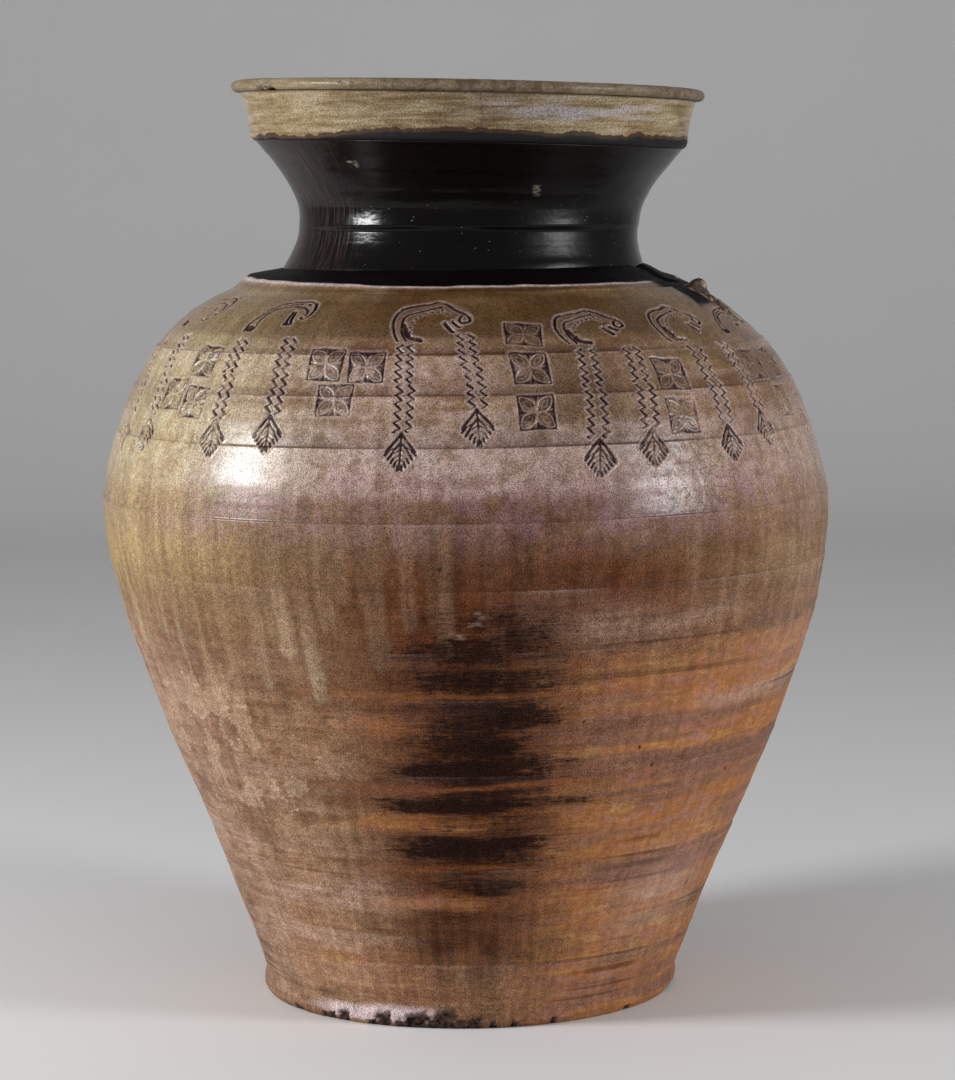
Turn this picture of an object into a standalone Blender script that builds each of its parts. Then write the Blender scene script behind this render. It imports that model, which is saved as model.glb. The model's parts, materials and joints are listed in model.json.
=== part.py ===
"""A large stoneware storage jar, built up from rings of clay.

Metres, +Z up. The origin is the middle of the underside, on the floor, and +Z is the jar's axis.
The wall is one smooth outline cut into rings at its luted joins, so every ring follows its neighbours.
The neck stands on a flat land at the top of the shoulder, inside a thin ridge coil.
"""
import math

import bpy
from mathutils import Matrix, Vector

# Base slab, whose edge stands out a little past the foot of the wall
SLAB_THICKNESS = 0.016
SLAB_DIAMETER = 0.3156
SLAB_EDGE_ROUNDING = 0.0035
SLAB_FLARE = 0.0010

# Heights of the rings of the wall, from the slab up
FOOT_RING_HEIGHT = 0.033
LOWER_WALL_HEIGHT = 0.074
MIDDLE_WALL_HEIGHT = 0.075
UPPER_WALL_HEIGHT = 0.055
UNDER_BELLY_HEIGHT = 0.036
LOWER_BELLY_HEIGHT = 0.042
BELLY_HEIGHT = 0.047
UPPER_BELLY_HEIGHT = 0.050
LOWER_SHOULDER_HEIGHT = 0.035
STAMPED_SHOULDER_HEIGHT = 0.028
SHOULDER_CAP_HEIGHT = 0.0415

# Outline of the wall. Each ring's top lies out from the foot by a share of the way to the belly, and above
# the belly out from the shoulder's land.
BELLY_DIAMETER = 0.5452
FOOT_TO_BELLY_SHARES = (0.10, 0.345, 0.62, 0.79, 0.89, 0.97, 1.0)
LAND_TO_BELLY_SHARES = (0.88, 0.735, 0.555, 0.0)
LAND_SLOPE = math.radians(20)

# Wall, which thins evenly from the foot to the shoulder
FOOT_WALL = 0.014
SHOULDER_WALL = 0.011

# Luted joins: a thin gap between two bevelled faces, which rise towards the inside
SEAM_GAP = 0.0003
SEAM_BEVEL = 0.006

# Neck
NECK_HEIGHT = 0.104
NECK_WALL = 0.011
NECK_FOOT_DIAMETER = 0.2840
NECK_WAIST_DIAMETER = 0.2532
NECK_TOP_DIAMETER = 0.3190
NECK_WAIST_SHARE = 0.42
NECK_FOOT_COVE_SHARES = ((0.07, 0.82), (0.14, 0.58), (0.22, 0.29), (0.31, 0.09))
NECK_TOP_COVE_SHARES = ((0.51, 0.035), (0.60, 0.11), (0.69, 0.25), (0.78, 0.43), (0.88, 0.68), (0.95, 0.87))

# Ridge coil round the neck's foot, as wide as the shoulder's land
RIDGE_WIDTH = 0.0285
RIDGE_HEIGHT = 0.015
RIDGE_TIP_SETBACK = 0.0085
RIDGE_TIP_HEIGHT = 0.0065
RIDGE_TIP_THICKNESS = 0.0015
RIDGE_UNDERCUT = 0.0025

# Mouth collar, which steps out from the neck's top, bevels out again to its edge and flares up to the lip
COLLAR_HEIGHT = 0.035
COLLAR_STEP = 0.0012
COLLAR_BEVEL_WIDTH = 0.0023
COLLAR_BEVEL_HEIGHT = 0.0028
COLLAR_FLARE = 0.0070
COLLAR_COVE_SHARES = ((0.30, 0.17), (0.62, 0.40), (0.85, 0.78))
COLLAR_WALL = 0.013

# Rolled lip
LIP_HEIGHT = 0.0085
LIP_WIDTH = 0.0235
LIP_OVERHANG = 0.0067
LIP_SHARES = ((0.72, 0.0), (0.91, 0.05), (1.0, 0.45), (0.96, 0.80), (0.80, 1.0), (0.22, 0.97), (0.0, 0.55))
LIP_FOOT_SHARE = 0.04

# Broken lug: a standing root beside the ridge and a low scar down the shoulder
LUG_ANGLE = math.radians(-15)
LUG_TOP_SHARE = 0.94
LUG_LENGTH = 0.014
LUG_WIDTH = 0.020
LUG_RISE = 0.008
LUG_ROUNDING = 0.003
LUG_BURIED = 0.008
SCAR_FOOT_SHARE = 0.30
SCAR_WIDTH = 0.013
SCAR_RISE = 0.0025
SCAR_STEPS = 5

# Fineness of the round shapes
SIDES = 60
LARGEST_BEND = math.radians(9)
SHARP_ANGLE = math.radians(35)
MERGE_DISTANCE = 0.00001

RINGS = (
    ("foot_ring", FOOT_RING_HEIGHT),
    ("lower_wall_ring", LOWER_WALL_HEIGHT),
    ("middle_wall_ring", MIDDLE_WALL_HEIGHT),
    ("upper_wall_ring", UPPER_WALL_HEIGHT),
    ("under_belly_ring", UNDER_BELLY_HEIGHT),
    ("lower_belly_ring", LOWER_BELLY_HEIGHT),
    ("belly_ring", BELLY_HEIGHT),
    ("upper_belly_ring", UPPER_BELLY_HEIGHT),
    ("lower_shoulder_ring", LOWER_SHOULDER_HEIGHT),
    ("stamped_shoulder_ring", STAMPED_SHOULDER_HEIGHT),
    ("shoulder_cap", SHOULDER_CAP_HEIGHT),
)
CAP = len(RINGS) - 1


def clear_scene():
    for old in list(bpy.data.objects):
        bpy.data.objects.remove(old)


def new_collection(name):
    collection = bpy.data.collections.new(name)
    bpy.context.scene.collection.children.link(collection)
    return collection


def new_material(name, colour, roughness):
    material = bpy.data.materials.new(name)
    material.use_nodes = True
    shader = material.node_tree.nodes["Principled BSDF"]
    shader.inputs["Base Color"].default_value = (*colour, 1.0)
    shader.inputs["Roughness"].default_value = roughness
    shader.inputs["Metallic"].default_value = 0.0
    material.diffuse_color = (*colour, 1.0)
    return material


def evaluated_copy(thing):
    """The mesh that the object's modifiers make."""
    depsgraph = bpy.context.evaluated_depsgraph_get()
    return bpy.data.meshes.new_from_object(thing.evaluated_get(depsgraph), depsgraph=depsgraph)


def shade_round(mesh):
    mesh.shade_smooth()
    mesh.set_sharp_from_angle(angle=SHARP_ANGLE)


def turned(name, outline, collection, closed=True):
    """Turns an outline of (radius, height) points about the axis.

    The outline runs down the outer side first. It is a loop, or with closed False a line from the axis
    and back to it.
    """
    corners = [(point[0], 0.0, point[1]) for point in outline]
    edges = [(i, i + 1) for i in range(len(corners) - 1)]
    if closed:
        edges.append((len(corners) - 1, 0))
    mesh = bpy.data.meshes.new(name)
    mesh.from_pydata(corners, edges, [])
    thing = bpy.data.objects.new(name, mesh)
    collection.objects.link(thing)
    screw = thing.modifiers.new("turn", "SCREW")
    screw.axis = "Z"
    screw.angle = math.tau
    screw.steps = SIDES
    screw.render_steps = SIDES
    screw.use_merge_vertices = True
    screw.merge_threshold = MERGE_DISTANCE
    thing.data = evaluated_copy(thing)
    thing.modifiers.clear()
    thing.data.name = name
    bpy.data.meshes.remove(mesh)
    shade_round(thing.data)
    return thing


def foot_radius():
    return SLAB_DIAMETER / 2 - SLAB_FLARE


def land_radius():
    """Outer edge of the shoulder's land, and of the ridge that stands on it."""
    return NECK_FOOT_DIAMETER / 2 + RIDGE_WIDTH


def collar_top_radius():
    return NECK_TOP_DIAMETER / 2 + COLLAR_STEP + COLLAR_BEVEL_WIDTH + COLLAR_FLARE


def wall_stations():
    """(radius, height) where the outline crosses each join, from the slab's top to the shoulder's land."""
    foot, belly, land = foot_radius(), BELLY_DIAMETER / 2, land_radius()
    radii = [foot + (belly - foot) * share for share in FOOT_TO_BELLY_SHARES]
    radii += [land + (belly - land) * share for share in LAND_TO_BELLY_SHARES]
    stations = [Vector((foot, SLAB_THICKNESS))]
    for radius, (_, height) in zip(radii, RINGS):
        stations.append(Vector((radius, stations[-1].y + height)))
    return stations


def travel_at(stations, i):
    """Direction of the outline at a station. Between two rings it is weighted towards the nearer one."""
    if i == 0:
        return (stations[1] - stations[0]).normalized()
    if i == len(stations) - 1:
        return Vector((-math.cos(LAND_SLOPE), math.sin(LAND_SLOPE)))
    before = stations[i] - stations[i - 1]
    after = stations[i + 1] - stations[i]
    near, far = before.length, after.length
    return (before / near * far + after / far * near) / (near + far)


def outward(travel):
    """Unit normal on the outer side of a line that climbs."""
    return Vector((travel.y, -travel.x)).normalized()


def curve_point(stations, i, share):
    """Point and direction of the outline at a share of the way from station i to the next."""
    start, end = stations[i], stations[i + 1]
    span = (end - start).length
    leave, arrive = travel_at(stations, i) * span, travel_at(stations, i + 1) * span
    s, s2, s3 = share, share**2, share**3
    point = (
        start * (2 * s3 - 3 * s2 + 1)
        + leave * (s3 - 2 * s2 + s)
        + end * (3 * s2 - 2 * s3)
        + arrive * (s3 - s2)
    )
    travel = (
        start * (6 * s2 - 6 * s)
        + leave * (3 * s2 - 4 * s + 1)
        + end * (6 * s - 6 * s2)
        + arrive * (3 * s2 - 2 * s)
    )
    return point, travel.normalized()


def ring_samples(stations, i):
    """Points and directions up the outer face of ring i, closer together where it bends more."""
    first = curve_point(stations, i, 0.0)[1]
    last = curve_point(stations, i, 1.0)[1]
    steps = max(1, math.ceil(abs(first.angle_signed(last)) / LARGEST_BEND))
    return [curve_point(stations, i, k / steps) for k in range(steps + 1)]


def wall_at(height):
    """Wall thickness at a height between the slab and the shoulder's land."""
    top = SLAB_THICKNESS + sum(ring_height for _, ring_height in RINGS)
    share = (height - SLAB_THICKNESS) / (top - SLAB_THICKNESS)
    return FOOT_WALL + (SHOULDER_WALL - FOOT_WALL) * share


def join_lift(wall):
    """How far along the wall a bevelled join opens, for its faces to stand the seam gap apart."""
    return SEAM_GAP * math.hypot(wall, SEAM_BEVEL) / wall


def neck_bore_radius():
    return NECK_FOOT_DIAMETER / 2 - NECK_WALL


def ring_outline(stations, i):
    """Outline of ring i: down its outer face, across the lower join and up its inner face."""
    samples = ring_samples(stations, i)
    outer = [point.copy() for point, _ in samples]
    inner = [point - outward(travel) * wall_at(point.y) for point, travel in samples]
    low_wall, low_travel = wall_at(outer[0].y), samples[0][1]
    if i == 0:
        outer[0].y += SEAM_GAP
        inner[0] = Vector((outer[0].x - low_wall, outer[0].y))
    else:
        outer[0] += low_travel * join_lift(low_wall)
        inner[0] += low_travel * (join_lift(low_wall) + SEAM_BEVEL)
    if i == CAP:
        land = stations[-1].y
        inner[-1] = Vector((outer[-1].x, land - SHOULDER_WALL))
        inner += [Vector((neck_bore_radius(), land - SHOULDER_WALL)), Vector((neck_bore_radius(), land))]
    else:
        inner[-1] += samples[-1][1] * SEAM_BEVEL
    return outer[::-1] + inner


def shares_between(low_radius, high_radius, foot, height, shares):
    """Points at shares of a height and of the way between two radii."""
    reach = high_radius - low_radius
    return [Vector((low_radius + reach * across, foot + height * up)) for up, across in shares]


def neck_points(foot):
    """The neck's outer face, from its foot up."""
    waist = NECK_WAIST_DIAMETER / 2
    low, high = NECK_FOOT_DIAMETER / 2, NECK_TOP_DIAMETER / 2
    points = [Vector((low, foot))]
    points += shares_between(waist, low, foot, NECK_HEIGHT, NECK_FOOT_COVE_SHARES)
    points.append(Vector((waist, foot + NECK_HEIGHT * NECK_WAIST_SHARE)))
    points += shares_between(waist, high, foot, NECK_HEIGHT, NECK_TOP_COVE_SHARES)
    points.append(Vector((high, foot + NECK_HEIGHT)))
    return points


def neck_outline(foot):
    outer = neck_points(foot)
    inner = [point - Vector((NECK_WALL, 0)) for point in outer]
    return outer[::-1] + inner


def ridge_outline(foot):
    """The coil from the shoulder's edge up to its sharp tip, in to the neck and down along the neck's flare."""
    edge = land_radius()
    tip = edge - RIDGE_TIP_SETBACK
    points = neck_points(foot)
    above = next(k for k, point in enumerate(points) if point.y > foot + RIDGE_HEIGHT)
    share = (foot + RIDGE_HEIGHT - points[above - 1].y) / (points[above].y - points[above - 1].y)
    bore = points[:above] + [points[above - 1].lerp(points[above], share)]
    bore = [point + Vector((SEAM_GAP, 0)) for point in bore]
    return [
        bore[-1],
        Vector((tip, foot + RIDGE_TIP_HEIGHT + RIDGE_TIP_THICKNESS)),
        Vector((tip, foot + RIDGE_TIP_HEIGHT)),
        Vector((tip + RIDGE_UNDERCUT, foot + RIDGE_UNDERCUT)),
        Vector((edge, foot)),
        *bore[:-1],
    ]


def collar_outline(foot):
    low = NECK_TOP_DIAMETER / 2 + COLLAR_STEP
    edge = low + COLLAR_BEVEL_WIDTH
    top = collar_top_radius()
    face_foot = foot + COLLAR_BEVEL_HEIGHT
    face_height = COLLAR_HEIGHT - COLLAR_BEVEL_HEIGHT
    outer = [Vector((low, foot)), Vector((edge, face_foot))]
    outer += shares_between(edge, top, face_foot, face_height, COLLAR_COVE_SHARES)
    outer.append(Vector((top, foot + COLLAR_HEIGHT)))
    bore = NECK_TOP_DIAMETER / 2 - NECK_WALL
    inner = [Vector((bore, foot)), Vector((top - COLLAR_WALL, foot + COLLAR_HEIGHT))]
    return outer[::-1] + inner


def lip_outline(foot):
    """The rolled lip, from the top of its outer side down and round to its inner edge."""
    inside = collar_top_radius() + LIP_OVERHANG - LIP_WIDTH
    outer = [Vector((inside + LIP_WIDTH * across, foot + LIP_HEIGHT * up)) for across, up in LIP_SHARES]
    return outer[::-1] + [Vector((inside + LIP_WIDTH * LIP_FOOT_SHARE, foot))]


def slab_outline():
    edge = SLAB_DIAMETER / 2
    return [
        Vector((0.0, SLAB_THICKNESS)),
        Vector((foot_radius(), SLAB_THICKNESS)),
        Vector((edge, SLAB_THICKNESS / 2)),
        Vector((edge, SLAB_EDGE_ROUNDING)),
        Vector((edge - SLAB_EDGE_ROUNDING, 0.0)),
        Vector((0.0, 0.0)),
    ]


def shoulder_clearance(stations, cutters):
    """A solid one seam gap larger than the shoulder cap and the ridge, which cuts the lug to its seat."""
    shoulder = ring_samples(stations, CAP - 1)[:-1] + ring_samples(stations, CAP)
    skin = [point + outward(travel) * SEAM_GAP for point, travel in shoulder]
    land = stations[-1].y + SEAM_GAP
    ridge = [point + Vector((SEAM_GAP, SEAM_GAP)) for point in ridge_outline(land)[:4]]
    bottom = [Vector((skin[0].x, skin[0].y - SHOULDER_WALL)), Vector((ridge[0].x, skin[0].y - SHOULDER_WALL))]
    cutter = turned("shoulder_clearance", ridge + skin[::-1] + bottom, cutters)
    keep_as_guide(cutter)
    return cutter


def block(name, length, width, height, collection):
    """A block that stands on its own origin, at the end that its length runs from."""
    bpy.ops.mesh.primitive_cube_add(size=1)
    thing = bpy.context.object
    thing.name = name
    for owner in list(thing.users_collection):
        owner.objects.unlink(thing)
    collection.objects.link(thing)
    thing.data.transform(Matrix.Diagonal((length, width, height, 1.0)))
    thing.data.transform(Matrix.Translation((length / 2, 0.0, height / 2)))
    return thing


def keep_as_guide(thing):
    thing.hide_render = True
    thing.display_type = "WIRE"


def cut(thing, operation, other):
    boolean = thing.modifiers.new(operation.lower(), "BOOLEAN")
    boolean.operation = operation
    boolean.solver = "EXACT"
    boolean.object = other


def seat_on_shoulder(root, stations):
    """Lays the root down the shoulder's slope from the lug's top, with its foot buried."""
    top, travel = curve_point(stations, CAP, LUG_TOP_SHARE)
    root.matrix_world = (
        Matrix.Rotation(LUG_ANGLE, 4, "Z")
        @ Matrix.Translation((top.x, 0.0, top.y))
        @ Matrix.Rotation(math.atan2(travel.y, -travel.x), 4, "Y")
        @ Matrix.Translation((0.0, 0.0, -LUG_BURIED))
    )


def make_scar(stations, cutters):
    """A strip of torn clay that follows the shoulder's curve, from the lug's top down to the scar's foot."""
    samples = []
    for k in range(SCAR_STEPS + 1):
        share = SCAR_FOOT_SHARE + (LUG_TOP_SHARE - SCAR_FOOT_SHARE) * k / SCAR_STEPS
        samples.append(curve_point(stations, CAP, share))
    outer = [point + outward(travel) * SCAR_RISE for point, travel in samples]
    inner = [point - outward(travel) * LUG_BURIED for point, travel in samples]
    skin = turned("scar_skin", outer[::-1] + inner, cutters)
    foot, top = outer[0], outer[-1]
    reach = foot.x - inner[-1].x
    scar = block("lug_scar", reach, SCAR_WIDTH, top.y - inner[0].y, cutters)
    scar.matrix_world = Matrix.Rotation(LUG_ANGLE, 4, "Z") @ Matrix.Translation((inner[-1].x, 0.0, inner[0].y))
    cut(scar, "INTERSECT", skin)
    keep_as_guide(skin)
    keep_as_guide(scar)
    return scar


def make_lug(stations, parts, cutters):
    """The broken lug's root, with its scar, cut to the shoulder and the ridge."""
    root = block("lug_stub", LUG_LENGTH, LUG_WIDTH, LUG_RISE + LUG_BURIED, parts)
    bevel = root.modifiers.new("round_edges", "BEVEL")
    bevel.width = LUG_ROUNDING
    bevel.segments = 2
    seat_on_shoulder(root, stations)
    cut(root, "UNION", make_scar(stations, cutters))
    cut(root, "DIFFERENCE", shoulder_clearance(stations, cutters))
    return root


def build():
    clear_scene()
    parts = new_collection("stoneware_jar")
    cutters = new_collection("cutters")
    raw_clay = new_material("raw_clay", (0.36, 0.24, 0.15), 0.75)
    brown_glaze = new_material("brown_glaze", (0.25, 0.15, 0.08), 0.45)
    olive_glaze = new_material("olive_glaze", (0.30, 0.21, 0.11), 0.30)
    black_glaze = new_material("black_glaze", (0.012, 0.006, 0.006), 0.12)
    cream_glaze = new_material("cream_glaze", (0.52, 0.45, 0.24), 0.28)

    slab = turned("base_slab", slab_outline(), parts, closed=False)
    slab.data.materials.append(raw_clay)

    stations = wall_stations()
    for i, (name, _) in enumerate(RINGS):
        ring = turned(name, ring_outline(stations, i), parts)
        narrows = stations[i + 1].x < stations[i].x
        ring.data.materials.append(olive_glaze if narrows else brown_glaze)

    land = stations[-1].y + SEAM_GAP
    ridge = turned("neck_ridge", ridge_outline(land), parts)
    ridge.data.materials.append(olive_glaze)
    neck = turned("neck", neck_outline(land), parts)
    neck.data.materials.append(black_glaze)
    collar_foot = land + NECK_HEIGHT + SEAM_GAP
    collar = turned("mouth_collar", collar_outline(collar_foot), parts)
    collar.data.materials.append(cream_glaze)
    lip = turned("lip_roll", lip_outline(collar_foot + COLLAR_HEIGHT + SEAM_GAP), parts)
    lip.data.materials.append(cream_glaze)

    lug = make_lug(stations, parts, cutters)
    lug.data.materials.append(raw_clay)


build()
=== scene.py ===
"""Looks of a large stamped stoneware jar: glazes, stamps, joins, runs, chips and the torn lug.

Every visible piece is a skin laid over the frame's own outline and closed along the hidden joins.
Angles are in degrees round the jar, 0 at the front (-Y) and growing to the right (+X).
Places on the wall are measured along the outline, and stamps in millimetres below the shoulder's land.
"""

import json
import math

import bpy
import numpy as np
from mathutils import Matrix, Vector
from mathutils.bvhtree import BVHTree

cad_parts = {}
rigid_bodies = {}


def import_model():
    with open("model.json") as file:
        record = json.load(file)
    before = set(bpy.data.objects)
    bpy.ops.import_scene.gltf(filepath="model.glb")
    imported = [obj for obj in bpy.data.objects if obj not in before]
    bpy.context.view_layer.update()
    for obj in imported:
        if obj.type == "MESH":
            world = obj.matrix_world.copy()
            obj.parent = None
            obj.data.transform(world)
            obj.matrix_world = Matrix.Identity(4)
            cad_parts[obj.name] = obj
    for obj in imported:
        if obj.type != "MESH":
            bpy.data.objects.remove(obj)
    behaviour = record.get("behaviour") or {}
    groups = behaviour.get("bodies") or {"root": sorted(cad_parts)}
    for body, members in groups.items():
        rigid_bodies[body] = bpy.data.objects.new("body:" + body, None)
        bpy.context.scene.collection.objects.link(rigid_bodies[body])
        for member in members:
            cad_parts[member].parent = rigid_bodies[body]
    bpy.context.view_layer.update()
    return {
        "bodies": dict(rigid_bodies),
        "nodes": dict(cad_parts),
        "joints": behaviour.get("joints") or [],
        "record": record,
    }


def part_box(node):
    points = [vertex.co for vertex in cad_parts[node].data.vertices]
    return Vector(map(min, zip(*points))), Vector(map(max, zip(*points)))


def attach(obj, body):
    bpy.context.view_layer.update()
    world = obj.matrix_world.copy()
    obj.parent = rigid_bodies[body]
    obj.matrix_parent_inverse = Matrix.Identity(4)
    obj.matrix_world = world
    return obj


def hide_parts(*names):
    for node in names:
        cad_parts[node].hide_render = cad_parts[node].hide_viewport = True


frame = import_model()

MM = 0.001

# Fineness: columns round the jar and row spacing along the outline
COARSENESS = 1
PLAIN_COLUMNS = 720 // COARSENESS
MOUTH_COLUMNS = 1080 // COARSENESS
STAMPED_COLUMNS = 2160 // COARSENESS
INSIDE_COLUMNS = 360 // COARSENESS
PLAIN_STEP = 1.0 * MM * COARSENESS
STAMPED_STEP = 0.75 * MM * COARSENESS
MOUTH_STEP = 0.7 * MM * COARSENESS
INSIDE_STEP = 5.0 * MM
BORE_STEP = 2.0 * MM
LINE_STEP = 0.25 * MM
JOIN_ROWS = np.array((0.0, 0.3, 0.7, 1.2, 1.9)) * MM
GHOST = 0.4 * MM

WALL_RINGS = (
    "foot_ring lower_wall_ring middle_wall_ring upper_wall_ring under_belly_ring lower_belly_ring "
    "belly_ring upper_belly_ring lower_shoulder_ring stamped_shoulder_ring shoulder_cap"
).split()
STAMPED_RINGS = WALL_RINGS[-4:]

# How far each join's ledge stands out, from the slab's join up, and how far the joins wander up and down
LEDGES_MM = np.array((0.0, 0.35, 0.6, 0.35, 0.4, 0.45, 0.5, 0.7, 0.9, 0.8, 0.9, 0.0))
# How dark the pooled glaze above each join is, which is in part painted shade in the join's hollow
POOLS = LEDGES_MM * np.array((1, 1, 1, 1, 1, 1, 1, 1, 1.4, 1.5, 2.6, 1))
JOIN_WANDER_MM = np.array((0.0, 2.0, 3.0, 3.0, 2.5, 2.5, 2.0, 2.0, 1.5, 1.2, 1.2, 0.0))

# Lean of the thrown axis, as millimetres to the right at heights in millimetres
LEAN_HEIGHTS_MM = (0, 10, 30, 80, 140, 210, 290, 340, 380, 410, 480, 500, 533, 586, 650, 690)
LEAN_RIGHT_MM = (-1.5, -0.4, 1.5, 1.4, 3.8, 4.2, 3.8, 1.9, 1.2, 0, 0, -3.5, -1.5, 7.5, 6.4, 6.4)
LEAN_BLUR_MM = 12
MOUTH_TILT = math.radians(1.92)


# Noise and soft steps


def lattice(i, j, seed):
    """Fixed scattered numbers from -1 to 1 at whole-number places."""
    h = i.astype(np.uint32) * np.uint32(374761393) + j.astype(np.uint32) * np.uint32(668265263)
    h = h + np.uint32((seed * 974634777 + 12345) % 2**32)
    h = (h ^ (h >> np.uint32(13))) * np.uint32(1274126177)
    h = (h ^ (h >> np.uint32(15))) * np.uint32(2246822519)
    return ((h >> np.uint32(8)) & np.uint32(0xFFFF)).astype(np.float64) / 32767.5 - 1.0


def noise(degrees, along, around, tall, seed):
    """Smooth noise from -1 to 1 with a number of cells round the jar, each of a height in metres."""
    u = (np.asarray(degrees) / 360.0 % 1.0) * around
    v = np.asarray(along) / tall
    i, j = np.floor(u), np.floor(v)
    fu, fv = u - i, v - j
    fu = fu * fu * (3 - 2 * fu)
    fv = fv * fv * (3 - 2 * fv)
    i0 = i.astype(np.int64) % around
    i1 = (i0 + 1) % around
    j0 = j.astype(np.int64)
    low = lattice(i0, j0, seed) * (1 - fu) + lattice(i1, j0, seed) * fu
    high = lattice(i0, j0 + 1, seed) * (1 - fu) + lattice(i1, j0 + 1, seed) * fu
    return low * (1 - fv) + high * fv


def fractal(degrees, along, around, tall, seed, octaves=3, gain=0.5):
    total, weight, share = 0.0, 0.0, 1.0
    for k in range(octaves):
        total = total + share * noise(degrees, along, around * 2**k, tall / 2**k, seed + 17 * k)
        weight += share
        share *= gain
    return total / weight


def smooth(low, high, value):
    """0 below low, 1 above high, with a smooth rise between."""
    t = np.clip((np.asarray(value) - low) / (high - low), 0.0, 1.0)
    return t * t * (3 - 2 * t)


def fade(low, high, value):
    """1 below low, 0 above high."""
    return 1 - smooth(low, high, value)


def angle_from(degrees, centre):
    return (degrees - centre + 180.0) % 360.0 - 180.0


def near(degrees, centre, half, soft):
    """1 within half an angle of a centre, going round the jar, with a soft edge."""
    return fade(half - soft, half + soft, np.abs(angle_from(degrees, centre)))


def between(value, low, high, soft):
    return smooth(low - soft, low + soft, value) * fade(high - soft, high + soft, value)


def bell(value, width):
    """1 at nought, falling away evenly on both sides."""
    return np.exp(-((value / width) ** 2))


def most(*layers):
    return np.maximum.reduce(layers)


class Place:
    """Where the points of a skin lie before any relief, and patterns that are laid out by place.

    Angles are in degrees, and the heights of bands in mm. Noises have a number of cells round the jar,
    the height of a cell and a seed, and fractals also a number of octaves and their gain.
    """

    def __init__(self, degrees, along, rows, height):
        self.degrees, self.along, self.rows, self.height = degrees, along, rows, height
        self.level = height / MM
        self.still = np.zeros_like(degrees)

    def near(self, centre, half, soft, shift=0.0):
        return near(self.degrees + shift, centre, half, soft)

    def band(self, low, high, soft, shift=0.0):
        return between(self.level + shift, low, high, soft)

    def above(self, low, high, shift=0.0):
        return smooth(low, high, self.level + shift)

    def below(self, low, high, shift=0.0):
        return fade(low, high, self.level + shift)

    def noise(self, *pattern):
        return noise(self.degrees, self.along, *pattern)

    def fractal(self, *pattern):
        return fractal(self.degrees, self.along, *pattern)


# The frame's outline


def blurred(values, blur, step):
    """The values smoothed over a distance, with the two ends kept."""
    reach = min(int(3 * blur / step), len(values) - 1)
    weights = np.exp(-0.5 * (np.arange(-reach, reach + 1) * step / blur) ** 2)
    padded = np.pad(values, reach, mode="reflect", reflect_type="odd")
    return np.convolve(padded, weights / weights.sum(), mode="valid")


def lengths(radius, height):
    return np.concatenate(([0.0], np.cumsum(np.hypot(np.diff(radius), np.diff(height)))))


class Line:
    """A smooth line of (radius, height) points in the half section, measured along itself."""

    def __init__(self, points, blur):
        corners = np.array(points, float).T
        along = lengths(*corners)
        fine = np.linspace(0.0, along[-1], max(8, int(along[-1] / LINE_STEP)))
        self.radius, self.height = (blurred(np.interp(fine, along, v), blur, LINE_STEP) for v in corners)
        self.along = lengths(self.radius, self.height)
        travel_r, travel_z = np.gradient(self.radius), np.gradient(self.height)
        size = np.hypot(travel_r, travel_z)
        self.normal_r, self.normal_z = travel_z / size, -travel_r / size
        self.length = self.along[-1]

    def at(self, along):
        measures = (self.radius, self.height, self.normal_r, self.normal_z)
        return [np.interp(along, self.along, v) for v in measures]

    def where(self, height):
        return float(np.interp(height, self.height, self.along))


def frame_tree():
    corners, faces, owners = [], [], []
    for name, node in frame["nodes"].items():
        start = len(corners)
        corners += [v.co.copy() for v in node.data.vertices]
        for polygon in node.data.polygons:
            faces.append([start + k for k in polygon.vertices])
            owners.append(name)
    return BVHTree.FromPolygons(corners, faces), owners


TREE, OWNERS = frame_tree()
RAY_ANGLE = math.radians(0.05)
RAY_DIRECTION = Vector((math.cos(RAY_ANGLE), math.sin(RAY_ANGLE), 0.0))
RAY_START = 0.6
RAY_STEP = 0.5 * MM
RAY_MARGIN = 0.2 * MM
RAY_WINDOW = 5


def frame_radii(low, high, inside=False):
    """Heights, radii of the frame's outer or inner face there, and the nodes that the rays meet."""
    start, way = (0.0, 1) if inside else (RAY_START, -1)
    heights, radii, names = [], [], []
    for height in np.arange(low + RAY_MARGIN, high - RAY_MARGIN, RAY_STEP):
        origin = RAY_DIRECTION * start + Vector((0.0, 0.0, height))
        place, _, face, _ = TREE.ray_cast(origin, RAY_DIRECTION * way)
        if place is not None:
            heights.append(height)
            radii.append(math.hypot(place.x, place.y))
            names.append(OWNERS[face])
    padded = np.pad(radii, RAY_WINDOW // 2, mode="edge")
    windows = np.lib.stride_tricks.sliding_window_view(padded, RAY_WINDOW)
    return np.array(heights), np.median(windows, axis=1), names


slab_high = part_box("base_slab")[1]
cap_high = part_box("shoulder_cap")[1]
ridge_low, ridge_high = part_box("neck_ridge")
neck_low, neck_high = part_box("neck")
collar_low, collar_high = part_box("mouth_collar")
lip_low, lip_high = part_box("lip_roll")

SLAB_TOP = slab_high.z
LAND = cap_high.z
LAND_RADIUS = ridge_high.x
EDGE_ROUNDING = 3.5 * MM
WALL_BLUR = 2.5 * MM


def with_joins(line, heights, names):
    """The line, and how far along it the slab's top, each join above it and the line's end lie."""
    tops = [heights[max(k for k, found in enumerate(names) if found == ring)] for ring in WALL_RINGS[:-1]]
    return line, np.array([line.where(z) for z in (SLAB_TOP, *tops)] + [line.length])


def wall_line():
    """The outer face from the slab's edge up to the shoulder's land."""
    heights, radii, names = frame_radii(0.0, LAND)
    upright = [(r, z) for r, z in zip(radii, heights) if z > EDGE_ROUNDING]
    line = Line([(slab_high.x - EDGE_ROUNDING, 0.0), *upright, (LAND_RADIUS, LAND)], WALL_BLUR)
    return with_joins(line, heights, names)


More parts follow.
